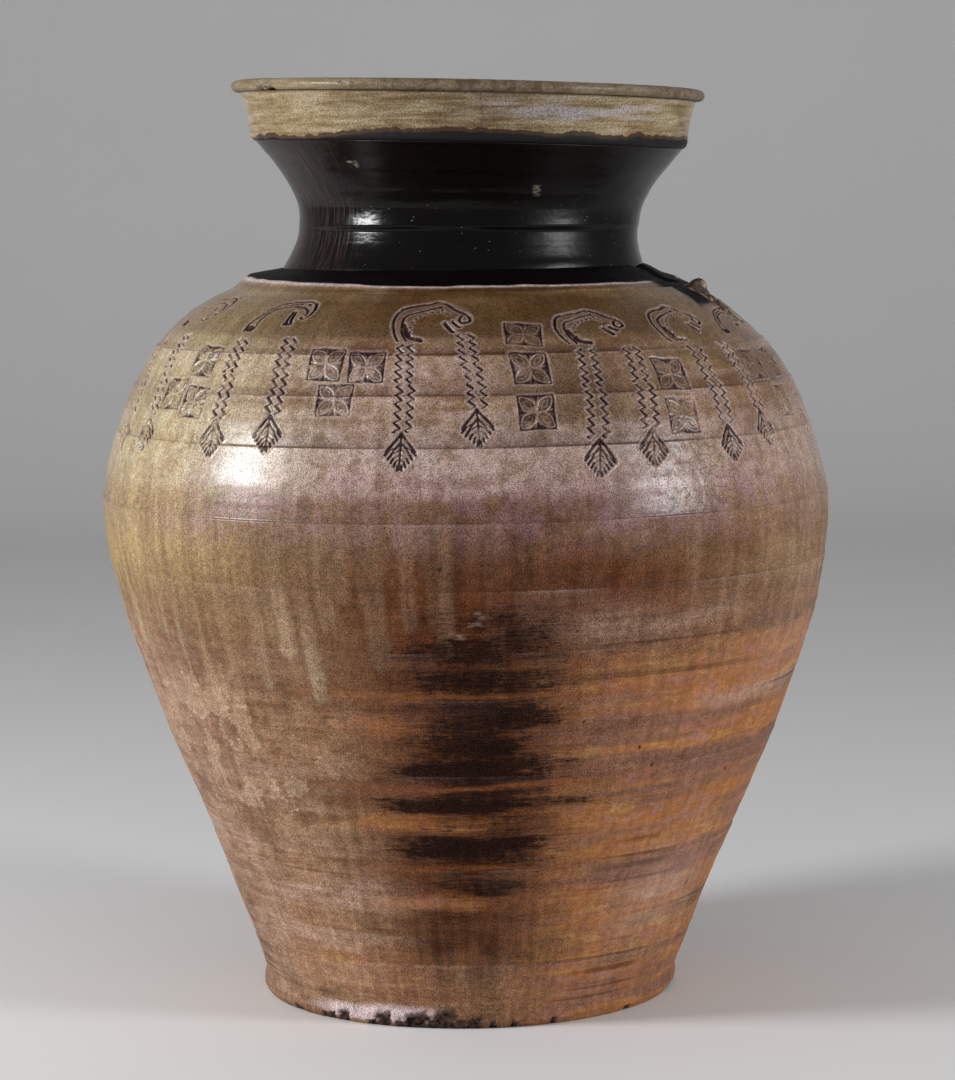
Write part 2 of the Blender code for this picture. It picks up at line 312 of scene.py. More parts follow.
def inside_line():
    """The inner face from the slab's top up the wall, in under the land and up its bore."""
    heights, radii, names = frame_radii(SLAB_TOP, LAND, inside=True)
    bore = radii[-1]
    walls = radii > (bore + LAND_RADIUS) / 2
    under = heights[walls][-1]
    upright = zip(radii[walls], heights[walls])
    line = Line([(radii[0], SLAB_TOP), *upright, (bore, under), (bore, LAND)], WALL_BLUR)
    return with_joins(line, heights, names)


wall, JOINS = wall_line()
hollow, HOLLOW_JOINS = inside_line()
WALL_END = JOINS[-1]


# The skin's relief and the masks that its materials read


def columns_of(count):
    return (np.arange(count) / count - 0.5) * 360.0


LEAN_GRID = np.arange(0.0, 700.0)
LEAN = blurred(np.interp(LEAN_GRID, LEAN_HEIGHTS_MM, LEAN_RIGHT_MM), LEAN_BLUR_MM, 1.0) * MM


def placed(degrees, radius, height):
    """Points of the real jar, which leans a little and has a tilted mouth."""
    angle = np.radians(degrees)
    x, y = radius * np.sin(angle), -radius * np.cos(angle)
    tilted = smooth(ridge_high.z, collar_low.z, height)
    z = height - math.tan(MOUTH_TILT) * x * tilted
    return np.stack([x + np.interp(height / MM, LEAN_GRID, LEAN), y, z], axis=-1)


def join_noise(degrees, around, seed):
    levels = [np.full_like(degrees, j) for j in range(len(JOINS))]
    return np.array([fractal(degrees, level, around, 0.5, seed) for level in levels])


def wander(degrees, along):
    """How far the rows near each join run up or down from level."""
    nearness = np.stack([np.interp(along, JOINS, one) for one in np.eye(len(JOINS))], axis=1)
    return nearness @ (JOIN_WANDER_MM[:, None] * MM * join_noise(degrees, 3, 5))


LEDGE_FADE = 16 * MM
LEDGE_LIP = 1.4 * MM
POOL_FADE = 5 * MM
LEDGE_SEED = 107


def ledge_profile(above):
    """The ring below a join stands out at its top edge, and the ring above starts in a slight hollow."""
    below = np.exp(np.minimum(above, 0.0) / LEDGE_FADE)
    hollowed = -0.35 * np.exp(-np.maximum(above, 0.0) / POOL_FADE)
    share = smooth(0.0, LEDGE_LIP, above)
    return below * (1 - share) + hollowed * share


def pool_profile(above):
    """Darker glaze that gathers just above a ledge, and painted shade in the hollow there."""
    gathered = 0.62 * np.exp(-above / (1.8 * POOL_FADE)) + 0.7 * np.exp(-above / (1.4 * MM))
    return np.where(above > 0, gathered, 0.0) * smooth(-0.2 * MM, 0.6 * MM, above)


def edge_profile(above):
    """Thin pale glaze on the ledge's edge, with a wider fainter band under it. Both are in part a painted
    highlight where the ledge catches the light.
    """
    down = np.maximum(-above, 0.0)
    return np.where(above <= 0.5 * MM, bell(down, 1.3 * MM) * 0.6 + np.exp(-down / (11 * MM)) * 0.5, 0.0)


def ledges(at, profile, amounts=LEDGES_MM):
    """A profile repeated at every join, weaker and stronger round the jar."""
    uneven = np.clip(0.75 + 0.9 * join_noise(at.degrees[0], 7, LEDGE_SEED), 0.1, 1.5)
    return profile(at.rows[:, None] - JOINS[None, :]) @ (amounts[:, None] * uneven)


# Bands of the firing marks: (height, half height) in mm, (centre, half width) in degrees, strength
DARK_BANDS = (
    (312, 14, 4, 9, 0.45),
    (290, 10, -1, 12, 0.70),
    (271, 11, 2, 11, 0.75),
    (246, 12, 4, 9, 0.80),
    (221, 9, 3, 8, 0.85),
    (203, 9, 1, 15, 0.90),
    (176, 7, -3, 14, 0.90),
    (178, 4, 14, 16, 0.55),
    (144, 9, -1, 15, 0.90),
    (113, 7, 2, 9, 0.75),
    (89, 6, -9, 10, 0.40),
    (66, 5, -5, 9, 0.30),
)
RUST_BANDS = (
    (258, 3, 0, 20, 0.60),
    (235, 8, -13, 8, 0.55),
    (162, 7, -10, 11, 0.80),
    (100, 5, -12, 11, 0.75),
)
EMBER_LINES = (
    (279, 1.6, 14, 12, 0.50),
    (257, 1.8, 2, 19, 0.75),
    (190, 1.8, 2, 24, 0.95),
    (164, 4.0, -7, 10, 0.55),
    (127, 1.5, 1, 20, 0.75),
    (119, 1.0, 4, 12, 0.50),
)


def banded(bands, at, seed):
    """Level smears with ragged ends."""
    shifted = at.degrees + 9 * fractal(at.degrees, at.height, 40, 4 * MM, seed, 4, 0.7)
    raised = at.level + 4 * fractal(at.degrees, at.height, 30, 12 * MM, seed + 3)
    smears = []
    for middle, half_z, centre, half, strength in bands:
        smear = between(raised, middle - half_z, middle + half_z, 0.45 * half_z + 1.2)
        smears.append(strength * smear * near(shifted, centre, half, 0.8 * half))
    return most(*smears)


LUG_ANGLE = 75.0
DRIP_FEET_MM = 286.0
DRIP_SPREAD_MM = 40.0
DRIP_RADIUS_MM = 250.0


def drips(degrees, level, count, seed):
    """Runs of glaze straight down the wall that end in round drops at different heights."""
    turn = (degrees / 360.0 % 1.0) * count
    own = np.floor(turn)
    chance = [lattice(own.astype(np.int64), np.zeros_like(own, np.int64) + k, seed) for k in range(4)]
    half = 6.8 + 2.2 * chance[0]
    centre = own + 0.5 + 0.18 * chance[1] + 0.006 * np.sin(level / 9.0 + 3 * chance[2])
    across = (turn - centre) / count * 2 * math.pi * DRIP_RADIUS_MM
    foot = DRIP_FEET_MM + DRIP_SPREAD_MM * chance[2]
    down = np.maximum(foot + half - level, 0.0)
    reach = np.hypot(across, down * 0.8)
    thick = 0.35 + 0.65 * fade(10, 90, level - foot)
    return fade(half - 3.2, half + 1.6, reach) * thick * (0.70 + 0.30 * chance[3])


def wall_paint(at):
    """Masks of the wall's glaze and bare clay, with some painted highlight, sheen and shade among them, from
    0 to 1.
    """
    back = 1.0 - at.near(0, 95, 25)
    right = at.near(58, 42, 14)
    left = at.near(-62, 42, 16)
    drift = at.fractal(6, 0.09, 43)
    streak = at.fractal(5, 12 * MM, 41, 4, 0.6)
    patch = at.fractal(16, 0.040, 44, 5, 0.6)
    broad = at.fractal(8, 0.030, 48, 4, 0.6)
    low = at.below(270, 350, 18 * at.fractal(16, 0.06, 31))

    # Firing marks on the bare clay low on the wall
    brown = most(
        at.near(1, 24, 22) * at.below(345, 465) * at.above(10, 110),
        0.6 * at.near(6, 45, 35) * at.below(350, 540) * (1 - 0.5 * low),
        back * smooth(0.0, 0.5, drift) * at.below(330, 420),
        0.8 * at.near(-23, 13, 13) * at.band(215, 300, 30),
    )
    red = most(
        at.near(24, 16, 12) * at.below(325, 400) * at.above(60, 110),
        0.9 * at.near(2, 26, 18) * at.below(315, 375) * at.above(60, 120),
    )
    blotches = smooth(-0.75, 0.15, 0.7 * patch + 0.6 * streak)
    dark = most(
        banded(DARK_BANDS, at, 53),
        0.72 * blotches * (at.near(1 + 6 * streak, 12.5, 11) * at.band(112, 325, 30)),
        back * (at.near(160, 28, 22) * low * smooth(-0.25, 0.4, 0.6 * streak + 0.6 * patch)) * 0.9,
    )
    slope = at.level - 0.55 * angle_from(at.degrees, 45) + 30 * patch
    rust = most(
        right * fade(262, 306, slope) * smooth(-0.42, 0.30, 0.65 * patch + 0.55 * streak + 0.12),
        banded(RUST_BANDS, at, 47),
        back * low * smooth(-0.1, 0.45, drift + 0.4 * streak + 0.4 * patch),
        0.5 * at.near(-15, 35, 15) * at.band(20, 70, 20) * smooth(-0.2, 0.4, patch),
    )
    tan = most(
        left * low * np.clip(0.85 + 0.9 * patch, 0, 1),
        right * low * 0.45,
        back * low * smooth(0.15, -0.3, drift) * 0.8,
        at.band(5, 48, 20) * 0.6,
        at.near(47, 24, 12) * at.band(25, 105, 22) * 0.9,
    )
    smears = smooth(-0.15, 0.45, 0.8 * at.fractal(5, 18 * MM, 51, 3, 0.6) + 0.4 * patch)
    worn = at.fractal(220, 0.006, 85, 3, 0.7) * at.near(0, 2.6, 1.4) * at.band(296, 318, 5)
    pale = most(
        smears * most(left, 0.6 * back) * at.band(40, 185, 30),
        at.near(50, 15, 10) * at.band(60, 135, 25) * (0.4 + 0.6 * smears),
        at.near(-74, 24, 18) * at.band(6, 300, 25) * (0.5 + 0.4 * patch),
        at.near(72, 16, 14) * at.band(262, 480, 30) * (0.45 + 0.4 * patch),
        at.near(58, 16, 6) * at.band(236, 250, 6, 8 * patch) * 0.8,
        at.near(30, 18, 10) * at.band(296, 318, 10, 20 * patch) * 0.5,
        smooth(0.12, 0.35, worn),
    )
    thin = at.noise(9, 2.6 * MM, 45) * smooth(-0.6, 0.4, at.noise(11, 0.03, 46))
    lined = most(right, back, 0.75 * at.below(110, 175))
    lines = most(
        smooth(0.30, 0.75, thin) * (0.15 + 0.85 * low) * (0.2 + 0.8 * lined),
        at.near(20, 32, 14) * at.band(269, 271, 1.5, 3 * streak) * 0.9,
    )
    crust = at.fractal(85, 20 * MM, 81, 5, 0.62) + 0.25 * at.noise(30, 0.03, 83)
    flaking = most(0.9 * between(crust, 0.13, 0.17, 0.02), 0.45 * smooth(0.15, 0.20, crust))

    # Runs and washes of glaze on the belly and the shoulder
    runs = most(drips(at.degrees, at.level, 66, 61), 0.7 * drips(at.degrees + 2.1, at.level, 43, 67))
    run_place = most(at.near(-46, 34, 18), back)
    ragged_belt = smooth(-0.9, 0.2, at.fractal(9, 0.05, 71))
    smear = at.fractal(5, 17 * MM, 73, 4, 0.6) + 0.3 * at.fractal(40, 0.025, 75)
    wash = smooth(-0.30, 0.40, smear) * at.band(392, 500, 12) * (0.38 + 0.47 * at.near(-22, 34, 20))
    wash = most(
        wash * (1 - 0.5 * at.near(22, 13, 12)),
        at.band(396, 447, 7, 5 * smear) * (0.62 + 0.33 * at.near(-18, 34, 18)),
        0.8 * at.near(-56, 22, 14) * at.band(400, 500, 14),
    )
    thick = 1 - 0.7 * at.near(-60, 24, 16) - 0.4 * at.near(62, 20, 14)
    olive = most(
        smooth(0.0, 0.40, -smear) * at.above(420, 480) * thick,
        0.7 * at.near(19, 6, 5) * at.band(446, 496, 8),
        at.band(503, 530, 4, 7 * smear) * (0.5 + 0.4 * at.near(5, 40, 20)),
    )
    ochre = most(
        at.near(-62, 30, 22) * at.band(270, 540, 45),
        0.55 * at.near(-150, 50, 30) * at.band(290, 500, 40),
    )
    return dict(
        brown=brown,
        red=red,
        rust=rust,
        dark=dark,
        tan=tan,
        pale=pale,
        # Painted highlight on the foot's edge at the left
        rim=at.near(-27, 17, 8) * between(at.level, 3, 15 + 6 * patch, 3) * smooth(-0.5, 0.1, patch + streak),
        lines=lines,
        runs=runs * (0.22 + 0.78 * run_place) * at.below(352, 420),
        gap=np.clip(at.near(-38, 27, 12) * at.band(262, 340, 24) * (0.75 + 0.5 * patch), 0, 1),
        # A lilac belt in the glaze, in part a painted sheen
        haze=at.band(364, 412, 15) * ragged_belt * (0.3 + 0.7 * at.near(2, 55, 25)),
        wash=wash,
        olive=olive,
        mauve=right * low * smooth(-0.02, 0.32, 0.8 * broad - 0.5 * streak),
        # Black beside the lug: painted shade in the recess there
        black=at.near(LUG_ANGLE - 7.0, 4.8, 1.2, 2.5 * patch) * at.above(517, 521, 5 * patch),
        ember=banded(EMBER_LINES, at, 49),
        gloss=at.above(335, 402, 16 * patch),
        ochre=ochre,
        flake=at.near(-47, 22, 10) * at.band(150, 262, 20) * flaking,
        low=low,
    )


# Pits: angle in degrees, height in mm, radius in mm
PITS = (
    (-4, 348, 2.2),
    (18.5, 236, 1.6),
    (30, 213, 1.9),
    (33.5, 198, 2.3),
    (55, 184, 1.6),
    (-57, 118, 1.2),
    (5, 214, 1.2),
)
PIT_RADIUS_MM = 220


def pits(at):
    """Small round holes in the glaze, from 0 to 1."""
    holes = []
    for centre, level, radius in PITS:
        across = np.radians(angle_from(at.degrees, centre)) * PIT_RADIUS_MM
        away = np.hypot(across, (at.level - level) * 1.1)
        holes.append(fade(0.5 * radius, radius, away))
    return most(*holes)


# Bites out of the foot's edge: angle, half width in degrees, how tall each is
FOOT_CHIPS = (
    (-40, 1.3, 0.6),
    (-36, 1.7, 0.9),
    (-27, 1.5, 0.5),
    (-23.5, 2.2, 1.2),
    (-18.5, 1.6, 0.6),
    (-14, 3.0, 1.25),
    (-10, 1.6, 0.8),
    (-6.5, 2.8, 1.5),
    (-2.5, 1.3, 0.7),
    (1.5, 1.9, 0.9),
    (6.0, 1.0, 0.5),
    (12, 1.0, 0.5),
    (23, 0.9, 0.6),
)


def foot_chips(at):
    """Broken bites along the foot's edge, from 0 to 1."""
    rag = fractal(at.degrees, at.height, 170, 4 * MM, 91)
    unseen = smooth(0.35, 0.5, noise(at.degrees, at.still, 60, 1.0, 93)) * (1 - at.near(0, 40, 5))
    bites = [unseen * fade(0.5, 1.0, at.height / (MM * (5 + 2.5 * rag)))]
    for centre, half, tall in FOOT_CHIPS:
        reach = (11.0 * tall + 3.0 * rag) * MM
        share = np.abs(angle_from(at.degrees, centre)) / half + 0.5 * rag
        bites.append(fade(0.8, 1.2, share) * fade(0.6, 1.0, at.height / reach))
    return most(*bites)


def body_wobble(degrees, along):
    """Soft unevenness of the hand-built wall in mm."""
    return 0.9 * fractal(degrees, along, 5, 0.16, 101, 2) + 0.35 * fractal(degrees, along, 22, 0.035, 103)


def wall_relief(at):
    """How far the real wall stands out from the frame's outline, with its masks."""
    looks = wall_paint(at)
    low = looks["low"]
    turn = np.radians(at.degrees)
    throwing = noise(at.degrees, at.along - 0.006 * np.sin(turn), 3, 4.2 * MM, 109)
    fine = noise(at.degrees, at.along + 0.004 * np.sin(np.radians(2 * at.degrees)), 7, 1.9 * MM, 113)
    crazed = at.near(37, 9, 4) * at.band(374, 430, 8)
    chips, holes = foot_chips(at), pits(at)
    out = body_wobble(at.degrees, at.along)
    out += ledges(at, ledge_profile)
    out += throwing * (0.05 + 0.22 * low)
    out += fine * (0.02 + 0.08 * low)
    out += 0.55 * looks["runs"] - 0.12 * looks["lines"]
    out += 0.20 * crazed * at.fractal(260, 6 * MM, 129, 3, 0.6)
    out += 0.06 * at.fractal(200, 9 * MM, 127)
    out += 0.45 * looks["flake"]
    out -= 3.2 * chips
    out -= 0.8 * holes
    out *= 1 - 0.85 * at.above(12, 0)
    broken = smooth(-0.35, 0.5, fractal(at.degrees, at.rows[:, None] + at.still, 40, 0.05, 115))
    thinner = 1 - 0.65 * at.near(-62, 26, 18) - 0.45 * at.near(62, 24, 16)
    looks.update(
        out=out * MM,
        crazed=crazed,
        # Chips and small holes, painted dark as the shade inside them
        chip=most(chips, holes),
        # Darker pooled glaze above each join, in part painted shade in its hollow, fainter at the sides
        pool=np.clip(ledges(at, pool_profile, POOLS), 0, 1) * (1 - 0.7 * low) * thinner,
        # Pale glaze on each ledge's edge, in part a painted highlight
        edge=np.clip(ledges(at, edge_profile), 0, 1) * broken * (1 - 0.45 * low),
    )
    return looks


# Stamps, each drawn in mm across and down the wall as how deep it is pressed and how dark, from 0 to 1


def inked(distance, half_width, soft=0.45):
    return fade(half_width - soft, half_width + soft, distance)


def to_segment(x, y, start, end):
    (ax, ay), (bx, by) = start, end
    dx, dy = bx - ax, by - ay
    t = np.clip(((x - ax) * dx + (y - ay) * dy) / (dx * dx + dy * dy), 0.0, 1.0)
    return np.hypot(x - ax - t * dx, y - ay - t * dy)


def curved(points, steps=5):
    """Points along a smooth curve through the given ones."""
    points = np.array([points[0], *points, points[-1]], float)
    made = []
    for a, b, c, d in zip(points, points[1:], points[2:], points[3:]):
        for t in np.arange(steps) / steps:
            bend = 2 * a - 5 * b + 4 * c - d
            made.append(0.5 * (2 * b + (c - a) * t + bend * t**2 + (3 * b - a - 3 * c + d) * t**3))
    return made + [points[-1]]


def to_line(x, y, points):
    return np.minimum.reduce([to_segment(x, y, a, b) for a, b in zip(points, points[1:])])


ROSETTE_HALF = 13.0


def rosette(x, y, stretch):
    """A sunk square with four leaves on its diagonals and short strokes between them."""
    y = y / stretch
    half = ROSETTE_HALF
    far, close = np.maximum(np.abs(x), np.abs(y)), np.minimum(np.abs(x), np.abs(y))
    ground = fade(-0.6, 0.6, far - half)
    along = (far + close) / math.sqrt(2) / (1.30 * half)
    across = (far - close) / math.sqrt(2)
    leaf = 5.0 * np.sin(np.pi * np.clip(along, 0, 1)) ** 0.8 - across
    rim = inked(np.abs(leaf - 0.6), 0.55) * (along < 1)
    within = smooth(0.2, 0.8, leaf)
    seed = 2.4 * np.sin(np.pi * np.clip((along - 0.24) / 0.52, 0, 1)) - across
    seed_rim = inked(np.abs(seed - 0.3), 0.25) * within
    strokes = inked(to_segment(far, close, (6.0, 0.2), (11.8, 2.4)), 0.45) * (1 - within)
    corner = smooth(0.5, 1.0, (far + close) / (2 * half))
    foot = smooth(0.45, 0.95, y / half)
    frame = smooth(0.80, 0.93, far / half)
    outside = (1 - within) * (1 - 0.6 * strokes)
    raised = (1 - 0.9 * rim) * (1 - 0.8 * seed_rim)
    depth = ground * raised * np.clip(0.9 * outside + 0.6 * within, 0, 1)
    ink = outside * (0.66 + 0.3 * corner + 0.35 * foot + 0.5 * frame) + 0.52 * within
    return depth, ground * raised * np.clip(ink, 0, 1)


ZIGZAG_PERIOD = 6.7
ZIGZAG_REACH = 2.3
ZIGZAG_OUT = 0.64
ZIGZAG_BROAD = 0.82
ZIGZAG_THIN = 0.38


def zigzag(x, y, half_length, phase):
    """A zigzag whose strokes down to the right are broad and whose strokes back are thin."""
    turn = (y / ZIGZAG_PERIOD + phase) % 1.0
    outward = turn < ZIGZAG_OUT
    swing = np.where(outward, 2 * turn / ZIGZAG_OUT - 1, 1 - 2 * (turn - ZIGZAG_OUT) / (1 - ZIGZAG_OUT))
    share = np.where(outward, ZIGZAG_OUT, 1 - ZIGZAG_OUT)
    square = np.cos(np.arctan(2 * ZIGZAG_REACH / (share * ZIGZAG_PERIOD)))
    width = np.where(outward, ZIGZAG_BROAD, ZIGZAG_THIN)
    line = inked(np.abs(x - ZIGZAG_REACH * swing) * square, width) * inked(np.abs(y), half_length)
    return line, line


PALMETTE_TEETH = 5


def palmette(x, y):
    """A lozenge leaf: a roof over its apex, a stem with veins fanning down, and a toothed lower edge."""
    side = np.abs(x)

    def stroke(start, end, half_width):
        return inked(to_segment(side, y, start, end), half_width)

    marks = [stroke((0.0, -13.5), (10.5, 0.0), 0.9), stroke((0.0, -8.0), (6.0, 0.5), 0.55)]
    marks += [stroke((0.0, -10.0), (0.0, 12.0), 0.55), inked(np.hypot(side, y + 12.0), 1.9)]
    for k in range(PALMETTE_TEETH):
        share = (k + 0.25) / PALMETTE_TEETH
        tip = (11.5 * (1 - share), 1.5 + 13.0 * share)
        root = (tip[0] * 0.74, tip[1] - 3.0)
        marks += [stroke(tip, root, 0.85), 0.75 * stroke(root, (0.4, -5.5 + 3.4 * k), 0.42)]
    body = inked(side / 12.5 + np.abs(y - 0.5) / 15.0, 0.98, 0.06)
    return most(*marks, 0.3 * body), most(*marks)


# Strokes of the two arches: half width, then the points that the curve goes through
TRUNK_STROKES = (
    (1, (-22, 42), (-25, 35), (-26.5, 22), (-22, 10), (-12, 5), (-4, 3), (2, 0), (8, 2), (16, 10), (22, 14)),
    (1.0, (22, 14), (26, 18), (26.5, 23), (22, 25), (19.5, 21), (21, 17)),
    (0.85, (-16, 42), (-20, 32), (-19, 19), (-13, 14), (-5, 10), (5, 6)),
    (1.7, (-18.5, 27), (-16, 35), (-13, 40), (-6, 42)),
    (1.6, (9.5, 25), (12, 29), (15.5, 33.5)),
    (1.3, (15, 23.5), (17, 26), (20, 29)),
    (0.8, (5, 6), (5.3, 6.5)),
    (0.8, (6, 9.5), (6.3, 10)),
)
TRUNK_BEADS = ((-14, 34), (-13, 24), (-8, 17), (0, 13), (7, 12), (11, 15))
BIRD_BREAST = ((-16, 34), (-15, 23), (-10.3, 14), (-4.4, 10.4), (4, 8), (12.5, 8.6))
BIRD_THROAT = ((18, 11), (20.8, 15), (21.5, 18))
BIRD_STROKES = (
    (0.85, (-24, 36), (-24, 30), (-21, 22), (-14.6, 12), (-7, 5.2), (1.5, 2.2), (12, 0.8)),
    (1.05, (12, 0.8), (16, 1), (20, 3), (23.5, 8), (25.2, 13.5), (25, 18.5), (22.5, 22), (19, 20.5)),
    (0.75, *BIRD_BREAST, *BIRD_THROAT),
    (0.5, (-18.5, 24), (-11, 12), (0, 6), (10, 4.4)),
    (2.9, (-22, 33), (-17.5, 33.5)),
    (0.95, (8.8, 14.5), (10.6, 27)),
    (0.95, (11.2, 14.5), (14.2, 27)),
    (1.7, (10.2, 28), (15.0, 27.5)),
    (1.0, (15.5, 4.4), (17.8, 5.4)),
)
ARCH_MIDDLE = ((-19, 40), (-22, 24), (-15, 9), (0, 5), (10, 6), (20, 14))
TRUNK = (TRUNK_STROKES, curved(TRUNK_BEADS, 4)[::2])
BIRD = (BIRD_STROKES, ())


def arch(x, y, tall, strokes, beads):
    y = y / tall
    marks = [inked(to_line(x, y, curved(points)), half_width) for half_width, *points in strokes]
    marks += [inked(np.hypot(x - bead_x, y - bead_y), 0.75) * 0.8 for bead_x, bead_y in beads]
    inside = inked(to_line(x, y, curved(ARCH_MIDDLE)), 4.0, 1.5)
    return most(*marks, 0.25 * inside), most(*marks)


# Where the stamps stand in the photograph: angles in degrees and distances below the land in mm.
# Arches: angle of the middle, distance of the top, height over the full height, the drawing, and its strength
ARCHES = (
    (-67.5, 12, 1.00, BIRD, 0.85),
    (-39.2, 13, 1.00, BIRD, 1.00),
    (-5.2, 15, 1.00, TRUNK, 1.00),
    (26.0, 29, 0.78, TRUNK, 1.00),
    (48.0, 28, 0.84, TRUNK, 0.95),
    (67.5, 35, 0.70, BIRD, 0.90),
)
# Pendants: angle and distance of the top, of the bottom, the gap between the two zigzags, and strength
PENDANTS = (
    (-75.0, 62, -72.0, 127, 8.0, 0.75),
    (-64.5, 54, -61.7, 124, 8.0, 0.85),
    (-43.8, 56, -42.8, 123, 7.6, 0.80),
    (-32.3, 54, -31.7, 118, 7.8, 0.90),
    (-9.3, 60, -9.4, 130, 8.2, 1.00),
    (1.5, 50, 2.3, 113, 8.6, 1.00),
    (23.0, 66, 20.8, 137, 10.5, 0.95),
    (32.2, 66, 30.2, 131, 9.5, 0.80),
    (47.2, 68, 46.2, 132, 9.5, 0.85),
    (56.4, 68, 56.5, 124, 8.0, 0.80),
)
# Rosettes: angle and distance of the middle, turn in degrees, height over width, and strength
ROSETTES = (
    (-51.3, 78, 3, 1.0, 0.80),
    (-56.8, 106, -2, 0.92, 0.70),
    (-49.9, 111, 2, 0.92, 0.75),
    (-23.6, 78, 1, 1.04, 0.75),
    (-16.1, 80, -1, 0.96, 0.80),
    (-20.9, 106, -2, 0.92, 0.75),
    (12.2, 52, 6, 0.80, 0.80),
    (11.8, 82, 1, 0.98, 0.95),
    (11.7, 116, -1, 0.98, 1.00),
    (37.8, 91, 4, 0.98, 0.80),
    (37.3, 123, 3, 0.98, 0.72),
    (62.5, 89, 2, 0.92, 0.65),
    (71.5, 89, -2, 0.92, 0.60),
    (67.0, 120, 3, 0.92, 0.55),
)
UNSEEN_ARCHES = (81, 111, 141, 171, 201, 231, 262)
UNSEEN_SEED = 11
# Rosettes after an unseen arch: angle from it, distance, height over width, which chances move and press it
UNSEEN_ROSETTES = ((12.5, 78, 1.0, 1, 4), (18.5, 80, 1.0, 3, 5), (15.5, 108, 0.95, 5, 4))


def all_stamps():
    """Every stamp: centre, distance, half width and height, turn, strength, drawing function, its numbers."""
    arches, pendants, rosettes = list(ARCHES), list(PENDANTS), list(ROSETTES)
    chance = np.random.default_rng(UNSEEN_SEED)
    for k, centre in enumerate(UNSEEN_ARCHES):
        jitter = chance.uniform(-1, 1, 8)
        force = chance.uniform(0.55, 1.0, 6)
        arches.append((centre, 17 + 4 * jitter[0], 0.92, (TRUNK, BIRD)[k % 2], force[0]))
        for side, way in ((-5.5, 1), (6.0, 4)):
            middle = centre + side
            top, bottom = 59 + 3 * jitter[way], 126 + 4 * jitter[way + 2]
            pendants.append((middle, top, middle + jitter[way + 1], bottom, 8.4, force[way // 2 + 1]))
        if k < len(UNSEEN_ARCHES) - 1:
            for away, down, tall, j, f in UNSEEN_ROSETTES:
                rosettes.append((centre + away, down + jitter[j], 2 * jitter[j + 1], tall, force[f]))
    stamps = []
    for centre, top, tall, drawing, strength in arches:
        stamps.append((centre, top, 32, 50, 0, strength, arch, (tall, *drawing)))
    for place in pendants:
        stamps += pendant(*place)
    for centre, distance, turn, tall, strength in rosettes:
        stamps.append((centre, distance, 20, 20, turn, strength, rosette, (tall,)))
    return stamps


PENDANT_RADIUS_MM = 240.0
UPPER_SHARE = 0.47


def pendant(top_angle, top, bottom_angle, bottom, gap, strength):
    """Two zigzags side by side, each stamped in two lengths, ending in a leaf."""
    made = []
    lean = math.degrees(math.atan2(math.radians(bottom_angle - top_angle) * PENDANT_RADIUS_MM, bottom - top))
    for side in (-0.5, 0.5):
        for start, end, shift in ((0.0, UPPER_SHARE, -0.8), (UPPER_SHARE, 1.0, 0.8)):
            middle = (start + end) / 2
            half = (end - start) / 2 * (bottom - top) - 0.4
            angle = top_angle + (bottom_angle - top_angle) * middle
            angle += math.degrees((side * gap + shift) / PENDANT_RADIUS_MM)
            numbers = (half, 0.25 + 0.3 * shift + 0.15 * side)
            made.append((angle, top + middle * (bottom - top), 8, half + 4, -lean, strength, zigzag, numbers))
    made.append((bottom_angle, bottom + 13.5, 17, 19, -lean, strength, palmette, ()))
    return made


STAMPS = all_stamps()
PRESS_DEPTH_MM = 1.15
WANDER_MARGIN_MM = 6
HALO_MM = 1.7
HALO_DIAGONAL_MM = 1.2
HALO_OFFSETS_MM = [(HALO_MM * x, HALO_MM * y) for x, y in ((1, 0), (-1, 0), (0, 1), (0, -1))]
HALO_OFFSETS_MM += [(HALO_DIAGONAL_MM * x, HALO_DIAGONAL_MM * y) for x in (1, -1) for y in (1, -1)]


def press_stamps(looks, at, radius):
    """Draws every stamp that meets this grid into its groove, ink and halo masks."""
    below = (WALL_END - at.along) / MM
    groove, ink, halo = (np.zeros_like(below) for _ in range(3))
    middle_below = below.mean(axis=1)
    uneven = np.clip(0.95 + fractal(at.degrees, below * MM, 300, 5 * MM, 141), 0.25, 1.25)
    for centre, distance, half_width, half_height, turn, strength, draw, numbers in STAMPS:
        away = angle_from(at.degrees[0], centre)
        cols = np.flatnonzero(np.abs(away) < math.degrees(half_width * MM / radius.min()))
        rows = np.flatnonzero(np.abs(middle_below - distance) < half_height + WANDER_MARGIN_MM)
        if not len(cols) or not len(rows):
            continue
        part = np.ix_(rows, cols)
        x0 = np.radians(away[cols])[None, :] * radius[part] / MM
        y0 = below[part] - distance
        c, s = math.cos(math.radians(turn)), math.sin(math.radians(turn))
        spot = (at.degrees[part], below[part] * MM, 180, 11 * MM)
        x = c * x0 + s * y0 + 0.5 * noise(*spot, 143)
        y = c * y0 - s * x0 + 0.5 * noise(*spot, 145)
        depth, dark = draw(x, y, *numbers)
        around = most(*(draw(x + dx, y + dy, *numbers)[0] for dx, dy in HALO_OFFSETS_MM))
        force = 0.4 + 0.6 * strength
        groove[part] = most(groove[part], depth * force)
        ink[part] = most(ink[part], dark * strength)
        halo[part] = most(halo[part], around * force)
    halo = halo * (1 - np.clip(1.6 * most(groove, ink), 0, 1))
    out = looks["out"] + MM * (0.18 * halo - PRESS_DEPTH_MM * groove)
    looks.update(ink=ink * uneven, halo=halo, out=out)


def stamped_relief(at):
    looks = wall_relief(at)
    press_stamps(looks, at, wall.at(at.along)[0])
    return looks


def plain_relief(at):
    """The hidden or half-seen inside of the jar: finger ridges under a thin slip."""
    out = 0.9 * at.noise(3, 11 * MM, 131) + 0.4 * at.fractal(12, 0.04, 137)
    streak = at.fractal(4, 9 * MM, 139, 4)
    tan, rust = (np.clip(v, 0, 1) for v in (0.45 + 0.4 * streak, 0.3 - 0.6 * streak))
    return dict(out=out * MM, tan=tan, rust=rust, low=np.ones_like(out))


# Skins and pieces


